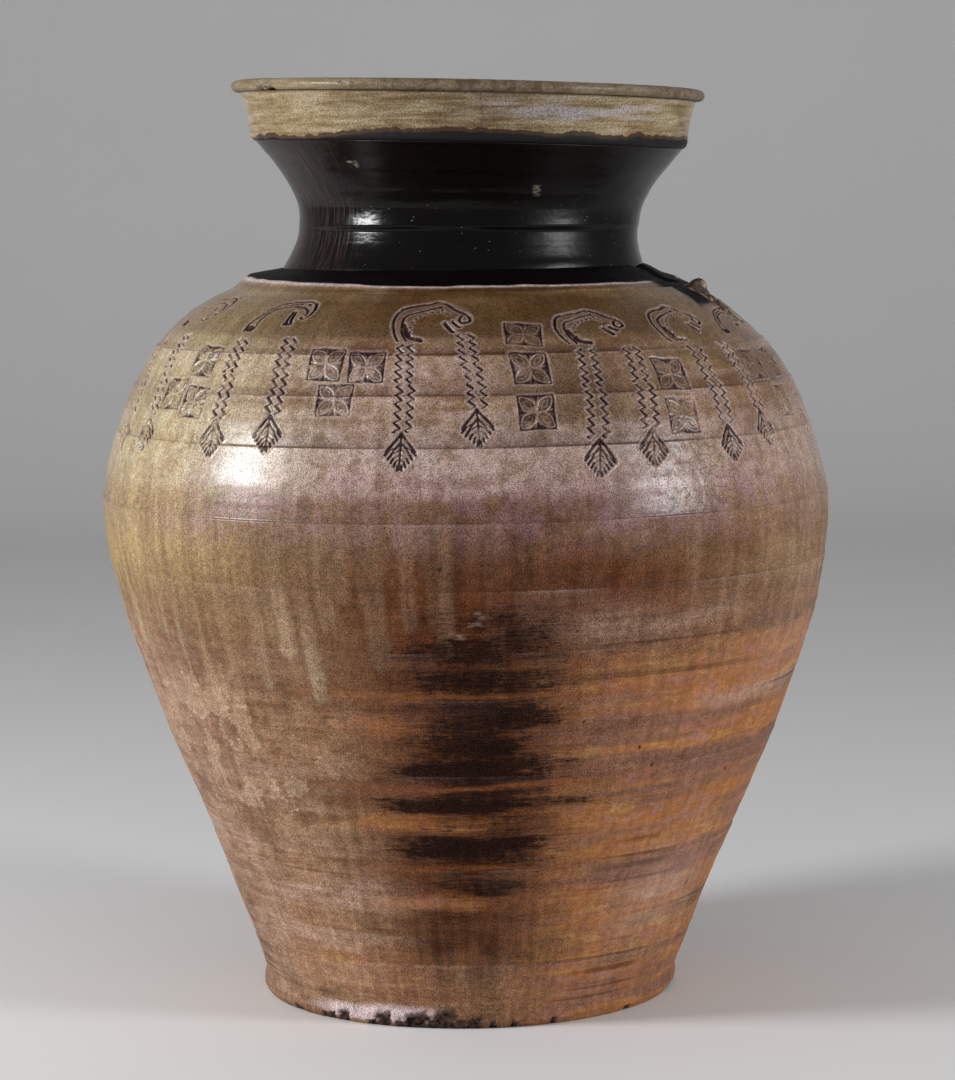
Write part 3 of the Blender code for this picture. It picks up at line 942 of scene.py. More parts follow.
def grid_normals(points):
    """Unit normals of a grid of points that goes round the jar, on its outer side where the rows climb."""
    across = np.roll(points, -1, axis=1) - np.roll(points, 1, axis=1)
    up = np.empty_like(points)
    up[1:-1] = points[2:] - points[:-2]
    up[0], up[-1] = points[1] - points[0], points[-1] - points[-2]
    normals = np.cross(across, up)
    return normals / np.maximum(np.linalg.norm(normals, axis=-1, keepdims=True), 1e-12)


def skin(line, rows, columns, relief, inner=False, wanders=False):
    """A grid of points laid over a line: its points, normals and masks, row by row."""
    side = -1 if inner else 1
    ghosted = np.concatenate(([rows[0] - GHOST], rows, [rows[-1] + GHOST]))
    degrees, along = np.meshgrid(columns_of(columns), ghosted)
    if wanders:
        along = along + wander(degrees[0], ghosted)
    radius, height, normal_r, normal_z = line.at(along)
    looks = relief(Place(degrees, along, ghosted, height))
    out = looks.pop("out") * side
    height = height + looks.pop("lift", 0.0)
    points = placed(degrees, radius + out * normal_r, height + out * normal_z)
    normals = grid_normals(points) * side
    order = slice(-2, 0, -1) if inner else slice(1, -1)
    return points[order], normals[order], {name: v[order] for name, v in looks.items()}


def rows_between(start, end, step):
    """Rows over a stretch of a line, closer together at its two ends."""
    ends = JOIN_ROWS[JOIN_ROWS < (end - start) / 4]
    count = max(2, round((end - start - 2 * ends[-1]) / step))
    middle = np.linspace(start + ends[-1], end - ends[-1], count + 1)
    return np.concatenate((start + ends[:-1], middle, end - ends[:-1][::-1]))


def even_rows(start, end, step):
    return np.linspace(start, end, max(2, math.ceil((end - start) / step) + 1))


UP = (0.0, 0.0, 1.0)
DOWN = (0.0, 0.0, -1.0)
NO_QUADS = np.zeros((0, 4), np.int64)
NO_TRIANGLES = np.zeros((0, 3), np.int64)


def bridge(first, second):
    """Faces between two rings of vertices, where one may have a whole number of times the other's."""
    (a, n), (b, m) = first, second
    k = np.arange(max(n, m))
    after = (k + 1) % len(k)
    if n == m:
        return np.stack([a + k, a + after, b + after, b + k], axis=1), NO_TRIANGLES
    coarser = min(n, m)
    times = len(k) // coarser
    post = (k // times + (k % times >= times // 2)) % coarser
    j = np.arange(coarser if coarser > 1 else 0)
    waist, following = j * times + times // 2, (j + 1) % coarser
    if n > m:
        fans, fills = (a + k, a + after, b + post), (a + waist, b + following, b + j)
    else:
        fans, fills = (a + post, b + after, b + k), (a + j, a + following, b + waist)
    return NO_QUADS, np.concatenate([np.stack(fans, axis=1), np.stack(fills, axis=1)])


def make_piece(name, grids, material, loop=True):
    """A closed body of rings of vertices, each ring joined to the next and the last to the first.

    Each grid is its points, its normals or the one normal that all of them have, and its masks.
    """
    rings, count, points, normals = [], 0, [], []
    for grid, grid_normal, _ in grids:
        rows, columns = grid.shape[:2]
        rings += [(count + k * columns, columns) for k in range(rows)]
        count += rows * columns
        points.append(grid.reshape(-1, 3))
        normals.append((np.zeros_like(grid) + grid_normal).reshape(-1, 3))
    pairs = list(zip(rings, rings[1:]))
    if loop:
        pairs.append((rings[-1], rings[0]))
    quads, triangles = (np.concatenate(faces) for faces in zip(*(bridge(a, b) for a, b in pairs)))
    mesh = mesh_from(name, np.concatenate(points), quads, triangles)
    for mask in sorted({mask for _, _, masks in grids for mask in masks}):
        values = [masks.get(mask, np.zeros(grid.shape[:2])) for grid, _, masks in grids]
        set_mask(mesh, mask, [v.ravel() for v in values])
    mesh.normals_split_custom_set_from_vertices(np.concatenate(normals).tolist())
    dress(mesh, name, material)


def mesh_from(name, corners, quads, triangles):
    mesh = bpy.data.meshes.new(name)
    mesh.vertices.add(len(corners))
    mesh.vertices.foreach_set("co", corners.astype(np.float32).ravel())
    loops = np.concatenate([quads.ravel(), triangles.ravel()]).astype(np.int32)
    sizes = np.concatenate([np.full(len(quads), 4), np.full(len(triangles), 3)])
    starts = np.concatenate([[0], np.cumsum(sizes)[:-1]]).astype(np.int32)
    mesh.loops.add(len(loops))
    mesh.loops.foreach_set("vertex_index", loops)
    mesh.polygons.add(len(sizes))
    mesh.polygons.foreach_set("loop_start", starts)
    mesh.polygons.foreach_set("use_smooth", np.ones(len(sizes), bool))
    mesh.update(calc_edges=True)
    return mesh


def set_mask(mesh, name, values):
    numbers = np.concatenate(values).astype(np.float32)
    mesh.attributes.new(name, "FLOAT", "POINT").data.foreach_set("value", numbers)


def linked(name, data):
    thing = bpy.data.objects.new(name, data)
    bpy.context.scene.collection.objects.link(thing)
    return thing


def dress(mesh, node, material):
    """The piece that stands for a node of the frame."""
    mesh.materials.append(material)
    piece = linked(node + "_skin", mesh)
    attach(piece, "root")
    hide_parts(node)


def match_coarser(grids, times):
    """Draws the lowest row of a fine skin onto its coarser neighbour's straight edges."""
    for values in grids:
        edge = values[0]
        posts = edge[::times]
        following = np.roll(posts, -1, axis=0)
        for k in range(1, times):
            edge[k::times] = posts + (following - posts) * (k / times)


# Materials


class Value:
    """What flows out of a node. Sums and products of numbers add maths nodes."""

    def __init__(self, shader, socket):
        self.shader, self.socket = shader, socket

    def maths(self, operation, first, second):
        return self.shader.node("ShaderNodeMath", {0: first, 1: second}, operation=operation)

    def __add__(self, other):
        return self.maths("ADD", self, other)

    def __sub__(self, other):
        return self.maths("SUBTRACT", self, other)

    def __rsub__(self, other):
        return self.maths("SUBTRACT", other, self)

    def __mul__(self, other):
        return self.maths("MULTIPLY", self, other)

    def most(self, other):
        return self.maths("MAXIMUM", self, other)

    def span(self, low, high, to_low=0.0, to_high=1.0):
        """The value's range from low to high, smoothly taken to another range."""
        inputs = dict(enumerate((self, low, high, to_low, to_high)))
        return self.shader.node("ShaderNodeMapRange", inputs, interpolation_type="SMOOTHSTEP")


class Shader:
    """Short calls that build one material's nodes. Colours are laid over each other, and so are bumps."""

    def __init__(self, name):
        self.material = bpy.data.materials.new(name)
        self.material.use_nodes = True
        self.tree = self.material.node_tree
        self.surface = self.tree.nodes["Principled BSDF"]
        self.place = self.node("ShaderNodeTexCoord", output="Object")
        self.colour, self.normal = None, None

    def node(self, kind, inputs=(), output=0, **settings):
        """A new node's output. Inputs and output are given by name or number."""
        node = self.tree.nodes.new(kind)
        for name, value in settings.items():
            setattr(node, name, value)
        for key, value in dict(inputs).items():
            self.put(node.inputs[key], value)
        return Value(self, node.outputs[output])

    def put(self, socket, value):
        if isinstance(value, Value):
            self.tree.links.new(value.socket, socket)
        elif socket.type == "RGBA":
            socket.default_value = (*value, 1.0)
        else:
            socket.default_value = value

    def mask(self, name):
        return self.node("ShaderNodeAttribute", output="Fac", attribute_name=name)

    def vector(self, operation, first, second=(0.0, 0.0, 0.0)):
        return self.node("ShaderNodeVectorMath", {0: first, 1: second}, operation=operation)

    def drawn_to_cylinder(self, radius):
        """The place moved out from the axis to one radius, so that patterns run straight down the wall."""
        flat = self.vector("MULTIPLY", self.place, (1.0, 1.0, 0.0))
        round_it = self.vector("MULTIPLY", self.vector("NORMALIZE", flat), (radius, radius, radius))
        return self.vector("ADD", round_it, self.vector("MULTIPLY", self.place, (0.0, 0.0, 1.0)))

    def noise(self, scale, detail, stretch=(1.0, 1.0, 1.0), roughness=0.5, place=None):
        stretched = self.node("ShaderNodeMapping", {"Vector": place or self.place, "Scale": stretch})
        inputs = {"Vector": stretched, "Scale": scale, "Detail": detail, "Roughness": roughness}
        return self.node("ShaderNodeTexNoise", inputs, "Fac")

    def cells(self, scale, feature="F1"):
        inputs = {"Vector": self.place, "Scale": scale, "Randomness": 1.0}
        return self.node("ShaderNodeTexVoronoi", inputs, "Distance", feature=feature)

    def mix(self, share, first, second, blend="MIX"):
        inputs = {0: share, 6: first, 7: second}
        return self.node("ShaderNodeMix", inputs, 2, data_type="RGBA", blend_type=blend)

    def lay(self, share, colour, strength=None):
        """Covers a share of the material's colour so far with another. A mask can be named as the share."""
        if isinstance(share, str):
            share = self.mask(share)
        if strength is not None:
            share = share * strength
        self.colour = self.mix(share, self.colour, colour)

    def tinted(self, tint):
        return self.mix(1.0, self.colour, tint, "MULTIPLY")

    def ramp(self, value, *stops):
        ramp = self.node("ShaderNodeValToRGB", {0: value})
        elements = ramp.socket.node.color_ramp.elements
        while len(elements) < len(stops):
            elements.new(1.0)
        for element, (position, colour) in zip(elements, stops):
            element.position = position
            element.color = (*colour, 1.0)
        return ramp

    def grey(self, value):
        """A number as a grey colour, which may be above 1."""
        return self.node("ShaderNodeCombineColor", {0: value, 1: value, 2: value})

    def bump(self, height, distance):
        inputs = {"Height": height, "Distance": distance, "Strength": 1.0}
        if self.normal:
            inputs["Normal"] = self.normal
        self.normal = self.node("ShaderNodeBump", inputs)

    def finish(self, roughness, specular, **more):
        """Joins everything to the surface. More inputs go by their names, with _ for a space."""
        more.update(Base_Color=self.colour, Normal=self.normal)
        more.update(Roughness=roughness, Specular_IOR_Level=specular)
        for name, value in more.items():
            self.put(self.surface.inputs[name.replace("_", " ")], value)
        return self.material


HONEY = (0.31, 0.195, 0.088)
HONEY_DARK = (0.18, 0.094, 0.034)
OCHRE = (0.42, 0.32, 0.155)
OCHRE_PALE = (0.48, 0.38, 0.21)
UMBER = (0.06, 0.02, 0.009)
UMBER_LIGHT = (0.14, 0.06, 0.028)
SOOT = (0.006, 0.0015, 0.001)
RUST = (0.385, 0.152, 0.05)
EMBER = (0.27, 0.09, 0.028)
RUST_GOLD = (0.465, 0.24, 0.088)
RUST_PINK = (0.395, 0.195, 0.13)
MAUVE_BROWN = (0.21, 0.11, 0.088)
DRIP_TAN = (0.46, 0.345, 0.225)
TAN = (0.4, 0.25, 0.145)
TAN_DARK = (0.235, 0.125, 0.062)
RED_BROWN = (0.168, 0.052, 0.019)
RED_BROWN_DARK = (0.075, 0.022, 0.008)
PALE_PINK = (0.46, 0.32, 0.25)
LILAC = (0.33, 0.195, 0.205)
MAUVE_TAN = (0.52, 0.39, 0.34)
STRAW = (0.54, 0.465, 0.3)
OLIVE_BROWN = (0.078, 0.038, 0.012)
PLUM_INK = (0.026, 0.009, 0.013)
GRAIN_DARK = (0.5, 0.38, 0.3)
GRAIN_LIGHT = (1.52, 1.58, 1.66)
PALE_RIM = (0.45, 0.33, 0.29)
BRIGHT_RIM = (0.6, 0.49, 0.48)
BONE = (0.56, 0.41, 0.27)
BLACK = (0.003, 0.002, 0.0024)
BLACK_BROWN = (0.078, 0.04, 0.03)
NECK_SPECK = (0.16, 0.14, 0.13)
NECK_SCAR = (0.2, 0.17, 0.14)
CREAM = (0.318, 0.234, 0.12)
CREAM_PALE = (0.46, 0.378, 0.255)
CREAM_OLIVE = (0.15, 0.092, 0.028)
CREAM_GREY = (0.4, 0.37, 0.4)
LIP_PALE = (0.19, 0.14, 0.09)
LIP_DARK = (0.075, 0.05, 0.03)
COLLAR_STAIN = (0.06, 0.028, 0.011)
COLLAR_BROWN = (0.12, 0.072, 0.03)
CLAY = (0.33, 0.22, 0.14)
CLAY_DARK = (0.09, 0.055, 0.04)
CLAY_BURNT = (0.03, 0.016, 0.012)
FLOOR_PALE = (0.78, 0.77, 0.76)
FLOOR_DARK = (0.7, 0.69, 0.68)


def wall_glaze():
    """Honey glaze that thins into runs over brown, tan and rusty clay."""
    s = Shader("jar_glaze")
    grain = s.noise(1450, 2, roughness=0.6)
    mottle = s.noise(230, 3, roughness=0.6)
    cloud = s.noise(16, 3, (1, 1, 2.0))
    clumps = s.noise(48, 4, (1, 1, 1.8), 0.6)
    streaks = s.noise(16, 5, (1, 1, 14), 0.65)
    fine_streaks = s.noise(70, 3, (1, 1, 14), 0.6)
    runs = s.noise(120, 3, (1, 1, 0.10), 0.6, s.drawn_to_cylinder(0.25))
    smeared = streaks * 0.5 + clumps * 0.5
    low, ochre, running, dark, ink = (s.mask(name) for name in ("low", "ochre", "runs", "dark", "ink"))
    chip, black, gloss, rusty = (s.mask(name) for name in ("chip", "black", "gloss", "rust"))

    # Glaze and clay
    s.colour = s.mix(cloud.span(0.32, 0.68), HONEY_DARK, HONEY)
    s.lay(ochre, OCHRE, runs.span(0.25, 0.75, 0.45, 0.85))
    umber = s.ramp(clumps * 0.5 + runs * 0.5, (0.38, UMBER), (0.62, UMBER_LIGHT))
    s.lay(s.mask("brown").most(low) * 0.92, umber)
    s.lay("red", s.ramp(smeared, (0.38, RED_BROWN_DARK), (0.60, RED_BROWN)), 0.85)
    s.lay("wash", s.mix(ochre, MAUVE_TAN, STRAW), s.noise(90, 4).span(0.34, 0.60, 0.35, 0.95))
    s.lay("olive", OLIVE_BROWN, 0.82)
    # Lilac belt, in part a painted sheen
    s.lay("haze", LILAC, s.noise(60, 4).span(0.36, 0.64, 0.15, 0.70))
    s.lay("tan", s.ramp(smeared, (0.38, TAN_DARK), (0.58, TAN)), 0.9)
    s.lay(rusty, s.ramp(smeared, (0.40, RUST_PINK), (0.50, RUST), (0.61, RUST_GOLD)))
    s.lay("pale", PALE_PINK, smeared.span(0.34, 0.58, 0.25, 0.8))
    s.lay("mauve", MAUVE_BROWN, smeared.span(0.40, 0.56, 0.22, 0.75))
    s.lay("gap", UMBER_LIGHT, 0.48)
    s.lay(running, s.mix(ochre, DRIP_TAN, OCHRE_PALE), runs.span(0.3, 0.7, 0.45, 0.82))
    s.lay(running * (1.0 - running) * 1.2, UMBER_LIGHT)
    s.lay("lines", UMBER, 0.6)
    s.lay("flake", BONE, 0.8)

    # Firing marks, joins with pooled glaze, painted shade and painted highlights, and stamps
    ragged = dark + (fine_streaks * 0.9 + mottle * 0.9 - 0.9)
    burnt = ragged.span(0.20, 0.80) * dark.span(0.02, 0.3)
    s.lay(burnt * 0.95, s.ramp(grain, (0.50, SOOT), (0.90, UMBER)))
    s.lay("ember", EMBER, smeared.span(0.40, 0.58, 0.35, 0.95))
    # Painted highlight: the foot's edge at the left and the ridge's sharp edge, where the glaze is also pale
    s.lay("rim", BRIGHT_RIM)
    # Pooled glaze above the joins, in part painted shade, and painted shade under the ridge's edge
    s.lay("pool", UMBER, 0.85)
    # Ledge edges: pale glaze, in part a painted highlight
    s.lay("edge", PALE_RIM, 0.60)
    s.lay("halo", PALE_RIM, 0.55)
    s.lay(rusty.span(0.2, 1.0, 1.0, 0.45), s.tinted(s.mix(grain.span(0.36, 0.64), GRAIN_DARK, GRAIN_LIGHT)))
    s.colour = s.tinted(s.grey(mottle.span(0.34, 0.66, 0.86, 1.14) * runs.span(0.3, 0.7, 0.88, 1.12)))
    s.lay(ink.span(0.08, 0.75, 0.0, 0.93), PLUM_INK)
    # Chips and small holes painted near black, as shade inside them
    s.lay(chip, s.ramp(mottle, (0.40, SOOT), (0.62, CLAY_DARK)))
    # Black glaze on the ridge, and painted shade in the recess beside the lug
    s.lay(black, BLACK)
    crackle = s.cells(120, "DISTANCE_TO_EDGE").span(0.06, 0.0) * s.mask("crazed")
    s.lay(crackle * 0.55, UMBER)

    matt = (1.0 - gloss).most(chip.most(black))
    glossy = gloss.span(0.0, 1.0, 0.03, 0.74) * black.span(0.0, 1.0, 1.0, 0.0) * ink.span(0.1, 0.9, 1.0, 0.30)
    s.bump(s.noise(34, 2, (1, 1, 1.5)), 0.9 * MM)
    s.bump(grain + mottle * 1.5, 0.12 * MM)
    s.bump(fine_streaks * low, 0.35 * MM)
    s.bump(crackle, -0.15 * MM)
    roughness = mottle.span(0.3, 0.7, 0.16, 0.26) + matt * 0.34
    return s.finish(roughness, 0.06, Coat_Weight=glossy * grain.span(0.34, 0.52), Coat_Roughness=0.30)


def neck_glaze():
    s = Shader("neck_glaze")
    hairs = s.noise(1150, 2, (1, 1, 0.030), 0.6, s.drawn_to_cylinder(0.16))
    hairy = s.mask("hairs")
    hair_share = hairy * hairs.span(0.50, 0.66)
    specks = s.cells(230).span(0.13, 0.07) * s.noise(90, 1).span(0.53, 0.58)
    s.colour = s.mix(hair_share * 0.75, BLACK, BLACK_BROWN)
    s.lay(specks * s.mask("specks"), NECK_SPECK)
    s.lay("scar", NECK_SCAR)
    s.bump(s.noise(60, 2, (1, 1, 2.5)), 0.35 * MM)
    s.bump(s.noise(320, 2), 0.06 * MM)
    s.bump(hairs * hairy, 0.06 * MM)
    return s.finish(s.mask("dull").span(0.0, 1.0, 0.17, 0.55) + hair_share * 0.25, 0.17)


def cream_glaze():
    s = Shader("collar_glaze")
    streaks = s.noise(24, 5, (1, 1, 14), 0.65)
    cloud = s.noise(30, 3, (1, 1, 2.2))
    tone = streaks * 0.65 + cloud * 0.35
    crackle = s.cells(430, "DISTANCE_TO_EDGE").span(0.07, 0.02)
    black, pale = s.mask("black"), s.mask("pale")
    s.colour = s.ramp(tone, (0.34, CREAM_OLIVE), (0.48, CREAM), (0.62, CREAM_PALE))
    # Pale grey streaks at the right, in part a painted highlight
    s.lay("wash", CREAM_GREY, streaks.span(0.42, 0.58))
    s.lay(crackle * 0.35, CREAM_OLIVE)
    s.lay("brown", COLLAR_BROWN, tone.span(0.40, 0.60, 0.70, 0.25))
    s.lay(pale, s.mix(s.noise(150, 4).span(0.36, 0.60), LIP_DARK, LIP_PALE))
    # Darker glaze towards the lower edge, and a painted shadow under the lip
    s.lay("shade", COLLAR_STAIN, 0.75)
    s.colour = s.tinted(s.grey(s.noise(900, 2).span(0.36, 0.64, 0.66, 1.28)))
    s.lay((s.mask("stain") + (s.noise(240, 3) - 0.5) * 0.7).span(0.30, 0.62), COLLAR_STAIN)
    s.lay(black, BLACK)
    # The crack, and the lip's chip and nicks painted dark as shade in them
    s.lay("scar", CLAY_DARK)
    s.bump(s.noise(420, 2), 0.10 * MM)
    s.bump(crackle, -0.06 * MM)
    return s.finish(cloud.span(0.3, 0.7, 0.34, 0.22) + black.most(pale) * 0.3, 0.3)


def raw_clay():
    s = Shader("torn_clay")
    coarse = s.noise(180, 4)
    s.colour = s.ramp(coarse, (0.35, CLAY_DARK), (0.55, CLAY), (0.75, BONE))
    # Painted shade in the torn clay's low places, at the stub's top and beside it
    s.lay("dark", CLAY_BURNT)
    s.colour = s.tinted(s.grey(s.noise(1100, 2).span(0.35, 0.65, 0.8, 1.15)))
    s.bump(coarse, 0.5 * MM)
    return s.finish(0.6, 0.4)


def floor_paper():
    s = Shader("floor_paper")
    s.colour = s.mix(s.noise(3, 2).span(0.3, 0.7, 0.0, 0.12), FLOOR_PALE, FLOOR_DARK)
    s.bump(s.noise(500, 2), 0.05 * MM)
    return s.finish(0.9, 0.5)


# The wall and the slab


def flat_rings(radii, height):
    """Level rings, of a given radius each, as a grid of points."""
    degrees, radius = np.meshgrid(columns_of(INSIDE_COLUMNS), radii)
    return placed(degrees, radius, np.full_like(radius, height))


def wall_ring(index, material):
    name = WALL_RINGS[index]
    columns, step, relief, slot = PLAIN_COLUMNS, PLAIN_STEP, wall_relief, "brown_glaze"
    if name in STAMPED_RINGS:
        columns, step, relief, slot = STAMPED_COLUMNS, STAMPED_STEP, stamped_relief, "olive_glaze"
    rows = rows_between(JOINS[index], JOINS[index + 1], step)
    points, normals, masks = skin(wall, rows, columns, relief, wanders=True)
    if name == STAMPED_RINGS[0]:
        match_coarser((points, normals, *masks.values()), STAMPED_COLUMNS // PLAIN_COLUMNS)
    rows = even_rows(HOLLOW_JOINS[index], HOLLOW_JOINS[index + 1], INSIDE_STEP)
    inside = skin(hollow, rows, INSIDE_COLUMNS, plain_relief, inner=True)
    make_piece(name, [(points, normals, masks), inside], material)


UNDER_SHARES = np.linspace(0.1, 0.97, 8)
FLOOR_SHARES = np.linspace(1.0, 0.05, 12)


def base_slab(material):
    under = flat_rings(UNDER_SHARES * (slab_high.x - EDGE_ROUNDING), 0.0)
    top = flat_rings(FLOOR_SHARES * hollow.at(0.0)[0], SLAB_TOP)
    bare = [dict(low=np.ones(grid.shape[:2]), tan=np.full(grid.shape[:2], 0.6)) for grid in (under, top)]
    grids = [
        (np.array([[[0.0, 0.0, 0.0]]]), UP, {}),
        (under, DOWN, bare[0]),
        skin(wall, rows_between(0.0, JOINS[0], PLAIN_STEP), PLAIN_COLUMNS, wall_relief, wanders=True),
        (top, UP, bare[1]),
        (np.array([[[0.0, 0.0, SLAB_TOP]]]), UP, {}),
    ]
    make_piece("base_slab", grids, material, loop=False)


# Ridge, neck, collar and lip


def shaped(across, up, inner, outer, low, high, blur):
    """A line given as shares of a piece's width and height."""
    reach, rise = outer - inner, high.z - low.z
    return Line([(inner + reach * r, low.z + rise * z) for r, z in zip(across, up)], blur)


def bored(low, high, blur):
    """The line up the bore of a piece, from its bottom to its top."""
    heights, radii, _ = frame_radii(low.z, high.z, inside=True)
    return Line([(radii[0], low.z), *zip(radii, heights), (radii[-1], high.z)], blur)


RIDGE_TIP_SHARE = 0.52
RIDGE_CLEARANCE = 0.2 * MM
COLLAR_EDGE_RISE = 6 * MM
RIDGE_ACROSS = (1.125, 1.04, 0.975, 0.91, 0.855, 0.815, 0.795, 0.745, 0.0)
RIDGE_UP = (-0.24, -0.07, 0.06, 0.20, 0.34, 0.46, RIDGE_TIP_SHARE, 0.55, 0.96)
LIP_ACROSS = (0.70, 0.90, 1.0, 1.0, 0.92, 0.78, 0.30, 0.06, 0.0, 0.05)
LIP_UP = (0.0, 0.02, 0.30, 0.62, 0.90, 1.0, 0.97, 0.80, 0.45, 0.0)
neck_heights, neck_radii, _ = frame_radii(ridge_high.z, neck_high.z)
NECK_FOOT_RADIUS = neck_radii[0]
collar_heights, collar_radii, _ = frame_radii(collar_low.z, collar_high.z)
lip_bore = frame_radii(lip_low.z, lip_high.z, inside=True)[1].min()
ridge_line = shaped(RIDGE_ACROSS, RIDGE_UP, NECK_FOOT_RADIUS, LAND_RADIUS, ridge_low, ridge_high, 0.5 * MM)
lip_line = shaped(LIP_ACROSS, LIP_UP, lip_bore, lip_high.x, lip_low, lip_high, 0.9 * MM)
neck_line = Line(
    [(NECK_FOOT_RADIUS, neck_low.z), *zip(neck_radii, neck_heights), (neck_high.x, neck_high.z)],
    3 * MM,
)
neck_hollow = bored(neck_low, neck_high, 3 * MM)
collar_foot = [(neck_high.x, collar_low.z), (collar_radii[0], collar_low.z)]
collar_line = Line(
    [*collar_foot, *zip(collar_radii, collar_heights), (collar_high.x, collar_high.z)],
    1.2 * MM,
)
collar_hollow = bored(collar_low, collar_high, 1.5 * MM)
RIDGE_TIP = ridge_line.where(ridge_low.z + RIDGE_TIP_SHARE * (ridge_high.z - ridge_low.z)) / ridge_line.length
COLLAR_EDGE = collar_line.where(collar_low.z + COLLAR_EDGE_RISE) / collar_line.length
CRACK_ANGLE = 3.2
CHIP_ANGLE = -56.5

# How high the ridge's edge stands over its foot, as a share of the frame's, at angles round the jar
RISE_ANGLES = (-180, -95, -60, -25, 0, 45, 80, 120, 180)
RISES = (1.0, 1.15, 0.95, 0.55, 0.45, 0.35, 0.35, 0.8, 1.0)


def ridge_relief(at):
    """The sharp edge wavers and is pale where glaze ran off it, with a painted highlight along it and painted
    shade just under it, and black glaze lies on top of it.
    """
    share = at.along / ridge_line.length
    past = share - RIDGE_TIP
    waver = 0.4 * fractal(at.degrees, at.still, 24, 1.0, 151) + 0.3 * at.noise(90, 0.02, 153)
    waver = waver * (0.3 + 1.3 * bell(past, 0.12)) * smooth(0, 0.5 * RIDGE_TIP, share)
    wobble = body_wobble(at.degrees, at.still + WALL_END) * fade(0.0, 0.7 * RIDGE_TIP, share)
    notch = at.near(LUG_ANGLE - 3.5, 5.0, 1.5) * smooth(0.25 * RIDGE_TIP, RIDGE_TIP, share)
    above = smooth(0.03, 0.07, past + 0.02 * at.noise(120, 0.01, 157))
    black = most(above, at.near(LUG_ANGLE - 3, 14, 3))
    glint = bell(past, 0.055) * (1.0 + 0.6 * at.fractal(40, 0.02, 159))
    keep = np.interp(angle_from(at.degrees, 0), RISE_ANGLES, RISES)
    kept = 1 + (keep - 1) * fade(RIDGE_TIP, 1.0, share)
    looks = wall_paint(Place(at.degrees, at.along + WALL_END, at.rows, at.height))
    looks.update(
        black=black,
        # Pale edge where glaze ran off, and a painted highlight along it
        rim=np.clip(1.3 * glint, 0, 1) * (1 - black),
        # Painted shade under the ridge's overhanging edge
        pool=between(share, 0.35 * RIDGE_TIP, 0.8 * RIDGE_TIP, 0.2 * RIDGE_TIP) * 0.5,
        out=MM * (waver + wobble - 2.5 * notch),
        lift=np.maximum(at.height - ridge_low.z, 0.0) * (kept - 1),
    )
    return looks


# A throwing ledge round the neck's waist: heights, and how far the wall stands out there
NECK_LEDGE_HEIGHTS_MM = (554, 562, 567, 573.5, 575, 577, 578.5, 590, 601)
NECK_LEDGE_OUT_MM = (0, 0.30, 0.42, 0.0, 0.5, 1.6, 1.8, -1.1, 0)
# Scars in the black glaze: (angle, half width, softness) in degrees, (bottom, top) in metres
NECK_SCARS = (((-35, 1.8, 0.8), (0.6185, 0.6245)), ((20.6, 1.2, 0.7), (0.600, 0.6075)))


def neck_relief(at):
    out = 0.35 * at.fractal(6, 0.05, 161) + 0.16 * at.noise(3, 7 * MM, 163)
    raised = at.level + 1.2 * fractal(at.degrees, at.still, 9, 1.0, 169)
    ledge = np.interp(raised, NECK_LEDGE_HEIGHTS_MM, NECK_LEDGE_OUT_MM)
    out += ledge * (0.25 + 0.75 * most(at.near(-36, 28, 14), at.near(22, 22, 12)))
    scars = [at.near(*across) * between(at.height, *up, 1 * MM) for across, up in NECK_SCARS]
    return dict(
        out=out * MM,
        hairs=np.clip(at.near(-72, 29, 14) + 0.3 * at.near(150, 60, 30), 0, 1),
        scar=sum(scars) * smooth(-0.1, 0.4, at.fractal(300, 2 * MM, 165)),
        specks=fade(0.590, 0.610, at.height),
        dull=most(0.45 * at.near(30, 22, 14), fade(0.002, 0.012, at.along)),
    )


def collar_relief(at):
    """The cream band, with a ragged dark lower edge, one hairline crack, a painted shadow under the lip, and
    pale grey streaks at the right that are in part a painted highlight.
    """
    share = at.along / collar_line.length
    drip = fractal(at.degrees, at.still, 60, 1.0, 175, 4, 0.65)
    edge = COLLAR_EDGE * (1 - 0.8 * at.near(-70, 38, 14))
    past = share - edge
    path = 0.35 * noise(at.still, at.along, 1, 6 * MM, 177)
    path = path + 0.12 * noise(at.still, at.along, 1, 1.5 * MM, 178)
    crack = bell(angle_from(at.degrees, 0) - (CRACK_ANGLE + path), 0.16) * smooth(edge, edge + 0.1, share)
    out = 0.4 * at.fractal(7, 0.04, 171) + 0.10 * at.noise(5, 3.5 * MM, 173)
    out = out - 0.5 * crack + 0.35 * bell(past, 0.05) * drip
    return dict(
        out=out * MM,
        stain=np.clip(smooth(0.13, 0.02, past - 0.09 * drip), 0, 1),
        black=smooth(0.03, -0.01, past - 0.06 * drip),
        scar=crack * 0.85,
        # Pale grey streaks at the right, in part a painted highlight
        wash=at.near(28, 22, 12) * between(share, 0.5, 0.9, 0.1) * 0.8,
        brown=at.near(-2, 24, 16) * (0.90 + 0.25 * drip),
        # Darker glaze towards the lower edge, and a painted shadow under the lip
        shade=np.exp(-np.maximum(past, 0) / 0.07) * (0.45 + 0.5 * drip) + 0.7 * smooth(0.955, 0.99, share),
    )


def lip_relief(at):
    outer = fade(0.0, 0.5, at.along / lip_line.length)
    chip = at.near(CHIP_ANGLE, 4.2, 1.4) * outer * smooth(-0.5, 0.1, at.fractal(200, 3 * MM, 183))
    nick = smooth(0.55, 0.7, at.fractal(130, 5 * MM, 185))
    return dict(
        out=(0.30 * at.fractal(9, 0.05, 181) - 1.6 * chip - 0.5 * nick) * MM,
        # The chip and the nicks are painted dark, as shade in them
        scar=np.clip(0.8 * chip + 0.5 * nick, 0, 1),
        pale=0.88 - 0.65 * at.near(-52, 26, 18) - 0.30 * at.near(36, 16, 14),
    )


